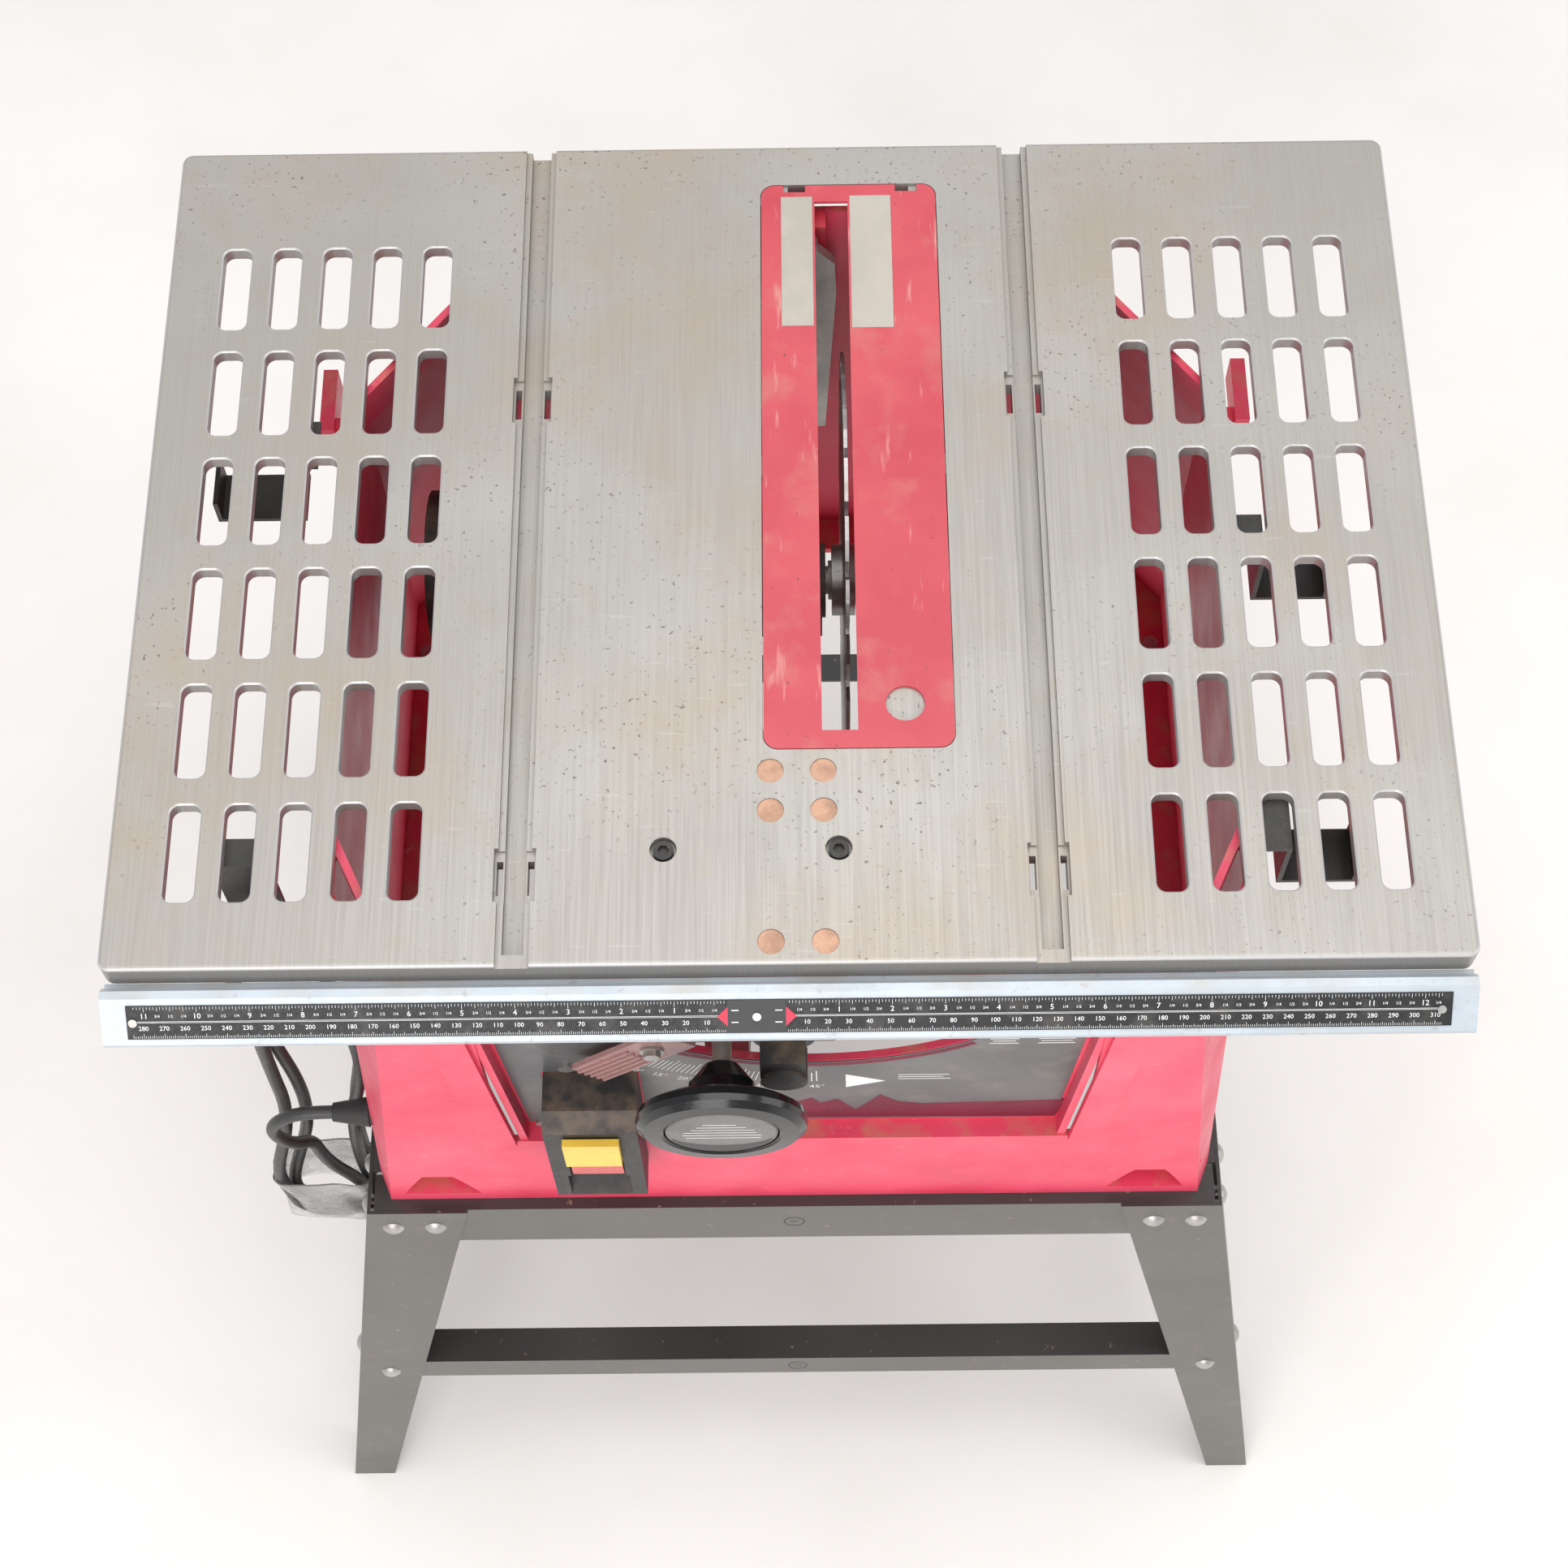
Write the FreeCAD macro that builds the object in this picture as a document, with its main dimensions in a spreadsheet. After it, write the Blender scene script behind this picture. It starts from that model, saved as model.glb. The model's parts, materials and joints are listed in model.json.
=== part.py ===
"""A benchtop table saw with a tilting ten inch blade, on a bolted steel leg stand.

Frame: +Z up, +X to the operator's right, +Y to the back. The origin is on the floor, under the middle.
Most saw pieces are drawn in the table's own frame (x from the middle, y back from the table's front
edge, z up from the table's face) and carried to their place by their Placement.
"""

import FreeCAD, Part
import math
import os
import sys

import Sketcher
from FreeCAD import Placement, Rotation, Vector

DOC = FreeCAD.newDocument("table_saw")
SHEET = DOC.addObject("Spreadsheet::Sheet", "sizes")
NODES = []


# ---------------------------------------------------------------- sizes

class Size:
    """A length that knows its number and the sheet expression that it stands for."""

    def __init__(self, text, value):
        self.text = text
        self.value = value

    def _with(self, sign, other, result):
        text = other.text if isinstance(other, Size) else repr(other)
        return Size("(" + self.text + " " + sign + " " + text + ")", result)

    def __add__(self, other):
        return self._with("+", other, self.value + number(other))

    def __sub__(self, other):
        return self._with("-", other, self.value - number(other))

    def __mul__(self, other):
        return self._with("*", other, self.value * number(other))

    def __truediv__(self, other):
        return self._with("/", other, self.value / number(other))

    def __neg__(self):
        return Size("(0 - " + self.text + ")", -self.value)


def number(size):
    """The plain number of a Size, or of a number."""
    return size.value if isinstance(size, Size) else float(size)


def cell(alias, value):
    """One driving dimension: a named cell of the sheet."""
    cell.row += 1
    SHEET.set("A" + str(cell.row), alias)
    SHEET.set("B" + str(cell.row), str(value))
    SHEET.setAlias("B" + str(cell.row), alias)
    return Size("sizes." + alias, float(value))


cell.row = 0

TABLE_TOP = cell("table_top_height", 815)
TABLE_FRONT = cell("table_front", -224.5)
TABLE_WIDTH = cell("table_width", 660)
TABLE_DEPTH = cell("table_depth", 485)
TABLE_SKIRT = cell("table_skirt", 17)
TABLE_PLATE = cell("table_plate", 8)
SKIRT_WALL = cell("skirt_wall", 6)

GROOVE_LEFT = cell("mitre_groove_left", -131.8)
GROOVE_RIGHT = cell("mitre_groove_right", 126.8)
GROOVE_WIDTH = cell("mitre_groove_width", 16.4)
GROOVE_LIP = cell("mitre_groove_lip_depth", 3.4)
GROOVE_BAR = cell("mitre_groove_bar_width", 10.4)
GROOVE_DEPTH = cell("mitre_groove_depth", 9.5)

SLOT_PITCH_X = cell("slot_pitch_across", 27.1)
SLOT_PITCH_Y = cell("slot_pitch_back", 66.56)
SLOT_WIDE = cell("slot_wide", 15.5)
SLOT_LONG = cell("slot_long", 51.9)
SLOT_LEFT = cell("slot_first_left", -294.2)
SLOT_RIGHT = cell("slot_first_right", 185.8)
SLOT_FRONT = cell("slot_first_front", 61)

THROAT_LEFT = cell("throat_left", -11.5)
THROAT_RIGHT = cell("throat_right", 84.3)
THROAT_FRONT = cell("throat_front", 113.5)
THROAT_BACK = cell("throat_back", 458.5)
INSERT_THICK = cell("insert_thick", 2)
BLADE_SLOT_LEFT = cell("blade_slot_left", 18)
BLADE_SLOT_RIGHT = cell("blade_slot_right", 36)
BLADE_SLOT_FRONT = cell("blade_slot_front", 124)
BLADE_SLOT_BACK = cell("blade_slot_back", 447)

PIVOT_X = cell("pivot_x", 11)
PIVOT_DROP = cell("pivot_drop", 20)
PIVOT_PIN = cell("pivot_pin_radius", 5)
BLADE_X = cell("blade_x", 32.5)
BLADE_RADIUS = cell("blade_radius", 127)
BLADE_BODY = cell("blade_body_thick", 2)
ARBOR_Y = cell("arbor_y", 285)
ARBOR_DROP = cell("arbor_drop", 131)
ARBOR_RADIUS = cell("arbor_radius", 7.94)
GEAR_MODULE = cell("gear_module", 1.5)

HOUSING_FRONT = cell("housing_front", -6)
HOUSING_BACK = cell("housing_back", 455)
HOUSING_DROP = cell("housing_drop", 345)
HOUSING_WALL = cell("housing_wall", 4)
PANEL_RECESS = cell("panel_recess", 11)
PANEL_BOTTOM = cell("panel_bottom_drop", 242)

SHAFT_OFFSET = cell("shaft_offset", 46)
RACK_PITCH_RADIUS = cell("rack_pitch_radius", 118)
RACK_TEETH_ROUND = cell("rack_teeth_in_full_turn", 128)
PINION_TEETH = cell("pinion_teeth", 12)
WHEEL_RADIUS = cell("wheel_radius", 44)

SWITCH_X = cell("switch_x", -106)
SWITCH_WIDE = cell("switch_wide", 50)
SWITCH_TOP_DROP = cell("switch_top_drop", 160)
SWITCH_BOTTOM_DROP = cell("switch_bottom_drop", 270)
SWITCH_FACE = cell("switch_face", -28)

STAND_HEIGHT = cell("stand_height", 470)
STAND_TOP_X = cell("stand_top_half_width", 250)
STAND_TOP_Y = cell("stand_top_half_depth", 239.5)
STAND_FOOT_X = cell("stand_foot_half_width", 324)
STAND_FOOT_Y = cell("stand_foot_half_depth", 289.5)
LEG_TOP_FLANGE = cell("leg_top_flange", 59)
LEG_FOOT_FLANGE = cell("leg_foot_flange", 29)
STEEL = cell("sheet_steel", 2)
TOP_RAIL_TALL = cell("top_rail_tall", 45)
TOP_RAIL_DEEP = cell("top_rail_deep", 22)
BRACE_TOP = cell("brace_top_height", 221)
BRACE_TALL = cell("brace_tall", 26)
BRACE_DEEP = cell("brace_deep", 22)
STAND_BOLT = cell("stand_bolt_radius", 3)

CORD_RADIUS = cell("cord_radius", 3.9)


# ---------------------------------------------------------------- building helpers

def bind(item, prop, size):
    """Ties a property to the sheet, or sets it when it is a plain number."""
    if isinstance(size, Size):
        item.setExpression(prop, size.text)
    else:
        item.setExpression(prop, repr(float(size)))


def place(item, x, y, z):
    """Puts an object at a point whose coordinates may come from the sheet."""
    item.Placement = Placement(Vector(number(x), number(y), number(z)), item.Placement.Rotation)
    for axis, size in (("x", x), ("y", y), ("z", z)):
        if isinstance(size, Size):
            item.setExpression("Placement.Base." + axis, size.text)


def in_table_frame(item):
    """Carries a piece drawn in the table's frame to its place over the floor."""
    place(item, 0, TABLE_FRONT, TABLE_TOP)


def node(item, name):
    """Names a finished sub-part."""
    item.Label = name
    NODES.append((name, item))
    return item


def box(low, high, name="block"):
    """A Part::Box between two corners."""
    item = DOC.addObject("Part::Box", name)
    for prop, first, last in zip(("Length", "Width", "Height"), low, high):
        bind(item, prop, difference(last, first))
    place(item, *low)
    return item


def difference(last, first):
    """last - first, as a Size when either comes from the sheet."""
    if isinstance(last, Size):
        return last - first
    if isinstance(first, Size):
        return -first + last
    return last - first


TURN = {"z": Rotation(), "y": Rotation(Vector(1, 0, 0), -90), "x": Rotation(Vector(0, 1, 0), 90)}


def rod(base, axis, radius, length, name="rod"):
    """A Part::Cylinder from a base point along +x, +y or +z."""
    item = DOC.addObject("Part::Cylinder", name)
    bind(item, "Radius", radius)
    bind(item, "Height", length)
    item.Placement = Placement(Vector(), TURN[axis])
    place(item, *base)
    return item


def cone(base, axis, first, last, length, name="cone"):
    """A Part::Cone from a base point along +x, +y or +z."""
    item = DOC.addObject("Part::Cone", name)
    bind(item, "Radius1", first)
    bind(item, "Radius2", last)
    bind(item, "Height", length)
    item.Placement = Placement(Vector(), TURN[axis])
    place(item, *base)
    return item


def join(items, name="joined"):
    """A fusion of several objects."""
    item = DOC.addObject("Part::MultiFuse", name)
    item.Shapes = items
    item.Refine = True
    return item


def cut(base, tools, name="cut"):
    """base with every tool taken away."""
    item = DOC.addObject("Part::Cut", name)
    item.Base = base
    item.Tool = tools[0] if len(tools) == 1 else join(tools)
    item.Refine = True
    return item


def group(items, name="group"):
    """Several separate solids in one sub-part."""
    item = DOC.addObject("Part::Compound", name)
    item.Links = items
    return item


def shaped(shape, name="shape"):
    """A Part::Feature for the outlines that neither sketches nor primitives fit."""
    item = DOC.addObject("Part::Feature", name)
    item.Shape = shape
    return item


PLANES = {"xy": "XY_Plane", "xz": "XZ_Plane", "yz": "YZ_Plane"}


def sketch(body, plane, offset=0, name="outline"):
    """A sketch on one of the body's own origin planes, moved along its normal."""
    item = body.newObject("Sketcher::SketchObject", name)
    features = body.Origin.OriginFeatures
    support = [feature for feature in features if feature.Role == PLANES[plane]][0]
    item.AttachmentSupport = [(support, "")]
    item.MapMode = "FlatFace"
    item.AttachmentOffset = Placement(Vector(0, 0, number(offset)), Rotation())
    if isinstance(offset, Size):
        item.setExpression("AttachmentOffset.Base.z", offset.text)
    return item


def polygon(drawing, points):
    """A closed outline; every corner that comes from the sheet is held there by its constraints."""
    spots = [Vector(number(a), number(b), 0) for a, b in points]
    first = drawing.GeometryCount
    count = len(spots)
    for index in range(count):
        line = Part.LineSegment(spots[index], spots[(index + 1) % count])
        drawing.addGeometry(line, False)
    for index in range(count):
        here = first + index
        after = first + (index + 1) % count
        drawing.addConstraint(Sketcher.Constraint("Coincident", here, 2, after, 1))
    for index, (a, b) in enumerate(points):
        for kind, size, value in (("DistanceX", a, spots[index].x), ("DistanceY", b, spots[index].y)):
            spot = drawing.addConstraint(Sketcher.Constraint(kind, first + index, 1, value))
            if isinstance(size, Size):
                drawing.setExpression("Constraints[" + str(spot) + "]", size.text)


def rounded_slots(drawing, places, wide, tall, corner):
    """Rectangles with round corners about their centre points."""
    a = number(wide) / 2
    b = number(tall) / 2
    r = corner
    edges = []
    for x, y in places:
        x = number(x)
        y = number(y)
        corners = ((x + a - r, y + b - r, 0), (x - a + r, y + b - r, 90),
                   (x - a + r, y - b + r, 180), (x + a - r, y - b + r, 270))
        for index, (cx, cy, start) in enumerate(corners):
            nx, ny, _ = corners[(index + 1) % 4]
            begin = math.radians(start)
            end = begin + math.pi / 2
            edges.append(Part.ArcOfCircle(Part.Circle(Vector(cx, cy, 0), Vector(0, 0, 1), r), begin, end))
            outward = Vector(math.cos(end), math.sin(end), 0) * r
            edges.append(Part.LineSegment(Vector(cx, cy, 0) + outward, Vector(nx, ny, 0) + outward))
    drawing.addGeometry(edges, False)


def circle(drawing, x, y, radius):
    """A full circle, its centre and radius held by constraints."""
    spot = drawing.addGeometry(Part.Circle(Vector(number(x), number(y), 0), Vector(0, 0, 1), number(radius)))
    for kind, size in (("DistanceX", x), ("DistanceY", y)):
        mark = drawing.addConstraint(Sketcher.Constraint(kind, spot, 3, number(size)))
        if isinstance(size, Size):
            drawing.setExpression("Constraints[" + str(mark) + "]", size.text)
    mark = drawing.addConstraint(Sketcher.Constraint("Radius", spot, number(radius)))
    if isinstance(radius, Size):
        drawing.setExpression("Constraints[" + str(mark) + "]", radius.text)


def new_body(name):
    """An empty PartDesign body."""
    return DOC.addObject("PartDesign::Body", name)


def pad(body, drawing, length, reverse=False, midplane=False):
    """Material along the sketch's normal."""
    item = body.newObject("PartDesign::Pad", "pad")
    item.Profile = drawing
    bind(item, "Length", length)
    item.Reversed = reverse
    item.Midplane = midplane
    drawing.Visibility = False
    return item


def pocket(body, drawing, length=None, reverse=False, midplane=False):
    """Takes material away; with no length it goes right through, both ways."""
    item = body.newObject("PartDesign::Pocket", "pocket")
    item.Profile = drawing
    item.Reversed = reverse
    if length is None:
        item.Type = "ThroughAll"
        item.Midplane = True
    else:
        bind(item, "Length", length)
        item.Midplane = midplane
    return item


def loft(body, lower, upper, take_away=False):
    """Straight sides between two sketches with as many corners."""
    kind = "PartDesign::SubtractiveLoft" if take_away else "PartDesign::AdditiveLoft"
    item = body.newObject(kind, "loft")
    item.Profile = lower
    item.Sections = [upper]
    item.Ruled = True
    return item


def round_edges(body, feature, radius, wanted):
    """Fillets the edges of a feature that a test picks out."""
    DOC.recompute()
    names = ["Edge" + str(i + 1) for i, edge in enumerate(feature.Shape.Edges) if wanted(edge)]
    item = body.newObject("PartDesign::Fillet", "rounding")
    item.Base = (feature, names)
    bind(item, "Radius", radius)
    return item


def at_height(edge, z):
    """True for an edge that lies flat at one height of its body's own frame."""
    return all(abs(vertex.Z - z) < 1e-6 for vertex in edge.Vertexes)


def polar(radius, degrees):
    """A point about the tilt axis: degrees from straight down, positive to the right."""
    turn = math.radians(degrees)
    return (number(PIVOT_X) + radius * math.sin(turn), -number(PIVOT_DROP) - radius * math.cos(turn))


def sector(inner, outer, start, end, front, deep):
    """An arc-shaped block about the tilt axis, from y = front back over its depth."""
    corners = [polar(inner, start), polar(inner, (start + end) / 2), polar(inner, end),
               polar(outer, end), polar(outer, (start + end) / 2), polar(outer, start)]
    spots = [Vector(x, front, z) for x, z in corners]
    edges = [Part.Arc(spots[0], spots[1], spots[2]).toShape(), Part.makeLine(spots[2], spots[3]),
             Part.Arc(spots[3], spots[4], spots[5]).toShape(), Part.makeLine(spots[5], spots[0])]
    return Part.Face(Part.Wire(edges)).extrude(Vector(0, deep, 0))


# ---------------------------------------------------------------- table

def slot_places():
    """Centres of the two grids of lightening slots: five across and six back on each side."""
    for first in (SLOT_LEFT, SLOT_RIGHT):
        for column in range(5):
            for row in range(6):
                yield first + SLOT_PITCH_X * column, SLOT_FRONT + SLOT_PITCH_Y * row


SLOT_CORNER = 5
SLOT_RIM = 0.8
TRUNNION_SCREWS = ((-60, 60), (25.4, 60))
PLUGS = tuple((x, y) for x in (-7.8, 18.3) for y in (11.1, 80.5, 102))
NOTCHES = (47.6, 320.8)
INSERT_LUGS = ((THROAT_LEFT, THROAT_FRONT), (THROAT_RIGHT - 14, THROAT_BACK - 12),
               (THROAT_LEFT, THROAT_BACK - 12),
               (THROAT_LEFT, THROAT_FRONT + 160), (THROAT_RIGHT - 14, THROAT_FRONT + 160))


def table_top():
    """The cast table: plate, skirt, two mitre grooves, the throat and its lugs, slots and screw holes."""
    body = new_body("table_casting")
    outline = sketch(body, "xy")
    half = TABLE_WIDTH / 2
    polygon(outline, ((-half, 0), (half, 0), (half, TABLE_DEPTH), (-half, TABLE_DEPTH)))
    slab = pad(body, outline, TABLE_SKIRT, reverse=True)
    corners = round_edges(body, slab, 6, lambda edge: abs(edge.Length - number(TABLE_SKIRT)) < 1e-6)
    round_edges(body, corners, 2.2, lambda edge: at_height(edge, 0))

    hollow = sketch(body, "xy", -TABLE_SKIRT)
    rib = GROOVE_WIDTH / 2 + 5
    spans = ((-half + SKIRT_WALL, GROOVE_LEFT - rib), (GROOVE_LEFT + rib, GROOVE_RIGHT - rib),
             (GROOVE_RIGHT + rib, half - SKIRT_WALL))
    for left, right in spans:
        polygon(hollow, ((left, SKIRT_WALL), (right, SKIRT_WALL),
                         (right, TABLE_DEPTH - SKIRT_WALL), (left, TABLE_DEPTH - SKIRT_WALL)))
    pocket(body, hollow, TABLE_SKIRT - TABLE_PLATE, reverse=True)
    ribs = sketch(body, "xy", -TABLE_SKIRT)
    for centre in (GROOVE_LEFT, GROOVE_RIGHT):
        polygon(ribs, ((centre - rib, SKIRT_WALL), (centre + rib, SKIRT_WALL),
                       (centre + rib, TABLE_DEPTH - SKIRT_WALL), (centre - rib, TABLE_DEPTH - SKIRT_WALL)))
    pocket(body, ribs, 3, reverse=True)

    for width, depth, start in ((GROOVE_WIDTH, GROOVE_LIP, -1), (GROOVE_BAR, GROOVE_DEPTH, 7)):
        grooves = sketch(body, "xy")
        for centre in (GROOVE_LEFT, GROOVE_RIGHT):
            polygon(grooves, ((centre - width / 2, start), (centre + width / 2, start),
                              (centre + width / 2, TABLE_DEPTH + 1), (centre - width / 2, TABLE_DEPTH + 1)))
        pocket(body, grooves, depth)

    notches = sketch(body, "xy")
    gaps = sketch(body, "xy")
    for centre in (GROOVE_LEFT, GROOVE_RIGHT):
        for y in NOTCHES:
            polygon(notches, ((centre - 10.2, y - 14), (centre + 10.2, y - 14),
                              (centre + 10.2, y + 14), (centre - 10.2, y + 14)))
            for side in (-1, 1):
                near = centre + side * 7.6
                polygon(gaps, ((near - 1.6, y - 9), (near + 1.6, y - 9),
                               (near + 1.6, y + 9), (near - 1.6, y + 9)))
    pocket(body, notches, GROOVE_LIP + 1.6)
    pocket(body, gaps)

    throat = sketch(body, "xy")
    middle_x = (THROAT_LEFT + THROAT_RIGHT) / 2
    middle_y = (THROAT_FRONT + THROAT_BACK) / 2
    rounded_slots(throat, [(middle_x, middle_y)], THROAT_RIGHT - THROAT_LEFT, THROAT_BACK - THROAT_FRONT, 8)
    pocket(body, throat)

    lugs = sketch(body, "xy", -TABLE_PLATE)
    for x, y in INSERT_LUGS:
        polygon(lugs, ((x - 1, y), (x + 15, y), (x + 15, y + 12), (x - 1, y + 12)))
    polygon(lugs, ((40, THROAT_FRONT - 1), (THROAT_RIGHT + 1, THROAT_FRONT - 1),
                   (THROAT_RIGHT + 1, THROAT_FRONT + 48), (40, THROAT_FRONT + 48)))
    pad(body, lugs, TABLE_PLATE - INSERT_THICK - 0.1)

    counterbores = sketch(body, "xy")
    through = sketch(body, "xy")
    for x, y in TRUNNION_SCREWS:
        circle(counterbores, x, y, 6.6)
        circle(through, x, y, 3.3)
    pocket(body, counterbores, 5)
    pocket(body, through)
    blind = sketch(body, "xy")
    for x, y in PLUGS:
        circle(blind, x, y, 6.6)
    pocket(body, blind, 4)

    holes = sketch(body, "xy")
    rounded_slots(holes, slot_places(), SLOT_WIDE, SLOT_LONG, SLOT_CORNER)
    pocket(body, holes, TABLE_PLATE + 2)
    rims = sketch(body, "xy")
    rounded_slots(rims, slot_places(), SLOT_WIDE + 2 * SLOT_RIM, SLOT_LONG + 2 * SLOT_RIM,
                  SLOT_CORNER + SLOT_RIM)
    pocket(body, rims, SLOT_RIM).TaperAngle = -45
    in_table_frame(body)
    return node(body, "table_top")


def table_plugs():
    """Six copper plugs, set a little below the table's face."""
    discs = [rod((x, y, -4), "z", 6.5, 3.3) for x, y in PLUGS]
    plugs = group(discs)
    in_table_frame(plugs)
    return node(plugs, "table_plugs")


def socket_screw(x, y):
    """A cap screw with a hexagon socket, head in the table's counterbore."""
    head = rod((x, y, -5), "z", 5, 4.2)
    shank = rod((x, y, -21), "z", 3, 17)
    socket = hexagon((x, y, -3.2), "z", 2.9, 4)
    return cut(join([head, shank]), [socket])


def trunnion_screws():
    """The two cap screws that hold the front trunnion mount up to the table."""
    screws = group([socket_screw(x, y) for x, y in TRUNNION_SCREWS])
    in_table_frame(screws)
    return node(screws, "trunnion_screws")


RAIL_SECTION = ((-0.1, -17.2), (-4.6, -17.2), (-4.6, -12), (-7.2, -9), (-11.4, -9), (-28.3, -26.2),
                (-28.3, -29), (-0.1, -29), (-0.1, -26.5), (-22.4, -26.5), (-10.4, -14.4), (-7.4, -14.4),
                (-7.4, -19.8), (-0.1, -19.8))


def front_rail():
    """The fence rail: a hook channel behind and a sloped face for the rule in front."""
    body = new_body("rail_section")
    profile = sketch(body, "yz", -TABLE_WIDTH / 2 + 0.5)
    polygon(profile, RAIL_SECTION)
    pad(body, profile, TABLE_WIDTH - 1)
    in_table_frame(body)
    return node(body, "front_rail")


RULE_MIDDLE = (-19.9, -17.6)
RULE_SLOPE = math.degrees(math.atan2(17.2, 16.9))


def on_rule(item, x, along, lift):
    """Turns a block drawn flat so that it lies on the rail's sloped face."""
    turn = Rotation(Vector(1, 0, 0), RULE_SLOPE)
    spot = turn.multVec(Vector(0, along, lift))
    y = spot.y + RULE_MIDDLE[0] + number(TABLE_FRONT)
    z = spot.z + RULE_MIDDLE[1] + number(TABLE_TOP)
    item.Placement = Placement(Vector(x, y, z), turn)


def rail_scale():
    """The rule: a thin black strip on the sloped face."""
    strip = DOC.addObject("Part::Box", "rule")
    bind(strip, "Length", TABLE_WIDTH - 26)
    strip.Width = 17.4
    strip.Height = 0.6
    on_rule(strip, -number(TABLE_WIDTH) / 2 + 13, -8.7, 0)
    return node(strip, "rail_scale")


def scale_rivets():
    """Three small rivets that hold the rule."""
    rivets = []
    for x in (-314, -15, 312):
        rivet = DOC.addObject("Part::Cylinder", "rivet")
        rivet.Radius = 2.1
        rivet.Height = 0.8
        on_rule(rivet, x, 0, 0.6)
        rivets.append(rivet)
    return node(group(rivets), "scale_rivets")


FINGER_HOLE = (59.6, 138.6)
WEAR_PLATES = ((-0.4, 16.9, 365.5, 450.5), (37.0, 59.5, 364, 451))


def throat_plate():
    """The lift-out insert round the blade, with its finger hole."""
    body = new_body("insert")
    gap = 0.5
    face = sketch(body, "xy")
    middle_x = (THROAT_LEFT + THROAT_RIGHT) / 2
    middle_y = (THROAT_FRONT + THROAT_BACK) / 2
    wide = THROAT_RIGHT - THROAT_LEFT - 2 * gap
    deep = THROAT_BACK - THROAT_FRONT - 2 * gap
    rounded_slots(face, [(middle_x, middle_y)], wide, deep, 7.5)
    pad(body, face, INSERT_THICK, reverse=True)
    slot = sketch(body, "xy")
    polygon(slot, ((BLADE_SLOT_LEFT, BLADE_SLOT_FRONT), (BLADE_SLOT_RIGHT, BLADE_SLOT_FRONT),
                   (BLADE_SLOT_RIGHT, BLADE_SLOT_BACK), (BLADE_SLOT_LEFT, BLADE_SLOT_BACK)))
    circle(slot, FINGER_HOLE[0], FINGER_HOLE[1], 9.8)
    for x in (7, 68):
        polygon(slot, ((x - 6, THROAT_BACK - 5), (x + 6, THROAT_BACK - 5),
                       (x + 6, THROAT_BACK), (x - 6, THROAT_BACK)))
    pocket(body, slot)
    beds = sketch(body, "xy")
    for left, right, front, back in WEAR_PLATES:
        polygon(beds, ((left, front), (right, front), (right, back), (left, back)))
    pocket(body, beds, 0.8)
    in_table_frame(body)
    return node(body, "throat_plate")


def wear_plates():
    """Two bare plates let into the insert beside the back of the blade slot."""
    plates = [box((left + 0.1, front + 0.1, -0.8), (right - 0.1, back - 0.1, 0))
              for left, right, front, back in WEAR_PLATES]
    plates = group(plates)
    in_table_frame(plates)
    return node(plates, "wear_plates")


# ---------------------------------------------------------------- tilt mounts under the table

def front_trunnion_mount():
    """The fixed block under the table's front that the tilt frame hangs from."""
    block = box((-76, 12, -26), (50, 30, -TABLE_PLATE))
    shelf = box((-76, 30, -11), (50, 70, -TABLE_PLATE))
    bore = rod((PIVOT_X, 10, -PIVOT_DROP), "y", PIVOT_PIN + 0.05, 22)
    holes = [rod((x, y, -30), "z", 3.05, 23) for x, y in TRUNNION_SCREWS]
    lug = rod((PIVOT_X, 12, -PIVOT_DROP), "y", 12, 18)
    mount = cut(join([block, shelf, lug]), [bore] + holes)
    in_table_frame(mount)
    return node(mount, "front_trunnion_mount")


def rear_trunnion_mount():
    """The fixed bracket behind the throat that carries the back pivot pin."""
    foot = box((-60, 438, -32), (THROAT_LEFT - 2, 450.5, -TABLE_PLATE))
    arm = box((-60, 438, -32), (24, 450.5, -11))
    bore = rod((PIVOT_X, 436, -PIVOT_DROP), "y", PIVOT_PIN + 0.05, 22)
    mount = cut(join([foot, arm]), [bore])
    in_table_frame(mount)
    return node(mount, "rear_trunnion_mount")


# ---------------------------------------------------------------- housing

def inset(points, wall):
    """Corners of a closed convex outline moved inwards; wall is one number for each side."""
    count = len(points)
    moved = []
    for index in range(count):
        before = side_line(points[index - 1], points[index], wall[index - 1])
        after = side_line(points[index], points[(index + 1) % count], wall[index])
        moved.append(crossing(before, after))
    return moved


def side_line(start, end, wall):
    """A side moved to its left, as a point and a direction."""
    dx, dy = end[0] - start[0], end[1] - start[1]
    size = math.hypot(dx, dy)
    return (start[0] - dy / size * wall, start[1] + dx / size * wall), (dx, dy)


def crossing(first, second):
    """Where two lines meet."""
    (ax, ay), (ux, uy) = first
    (bx, by), (vx, vy) = second
    share = ((bx - ax) * vy - (by - ay) * vx) / (ux * vy - uy * vx)
    return ax + ux * share, ay + uy * share


def housing_plan(front_corner, side, front_side, back_side, back_corner, front):
    """Eight corners of the housing in plan, anticlockwise from the front left."""
    back = number(HOUSING_BACK)
    return [(-front_corner, front), (front_corner, front), (side, front_side), (side, back_side),
            (back_corner, back), (-back_corner, back), (-side, back_side), (-side, front_side)]


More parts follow.
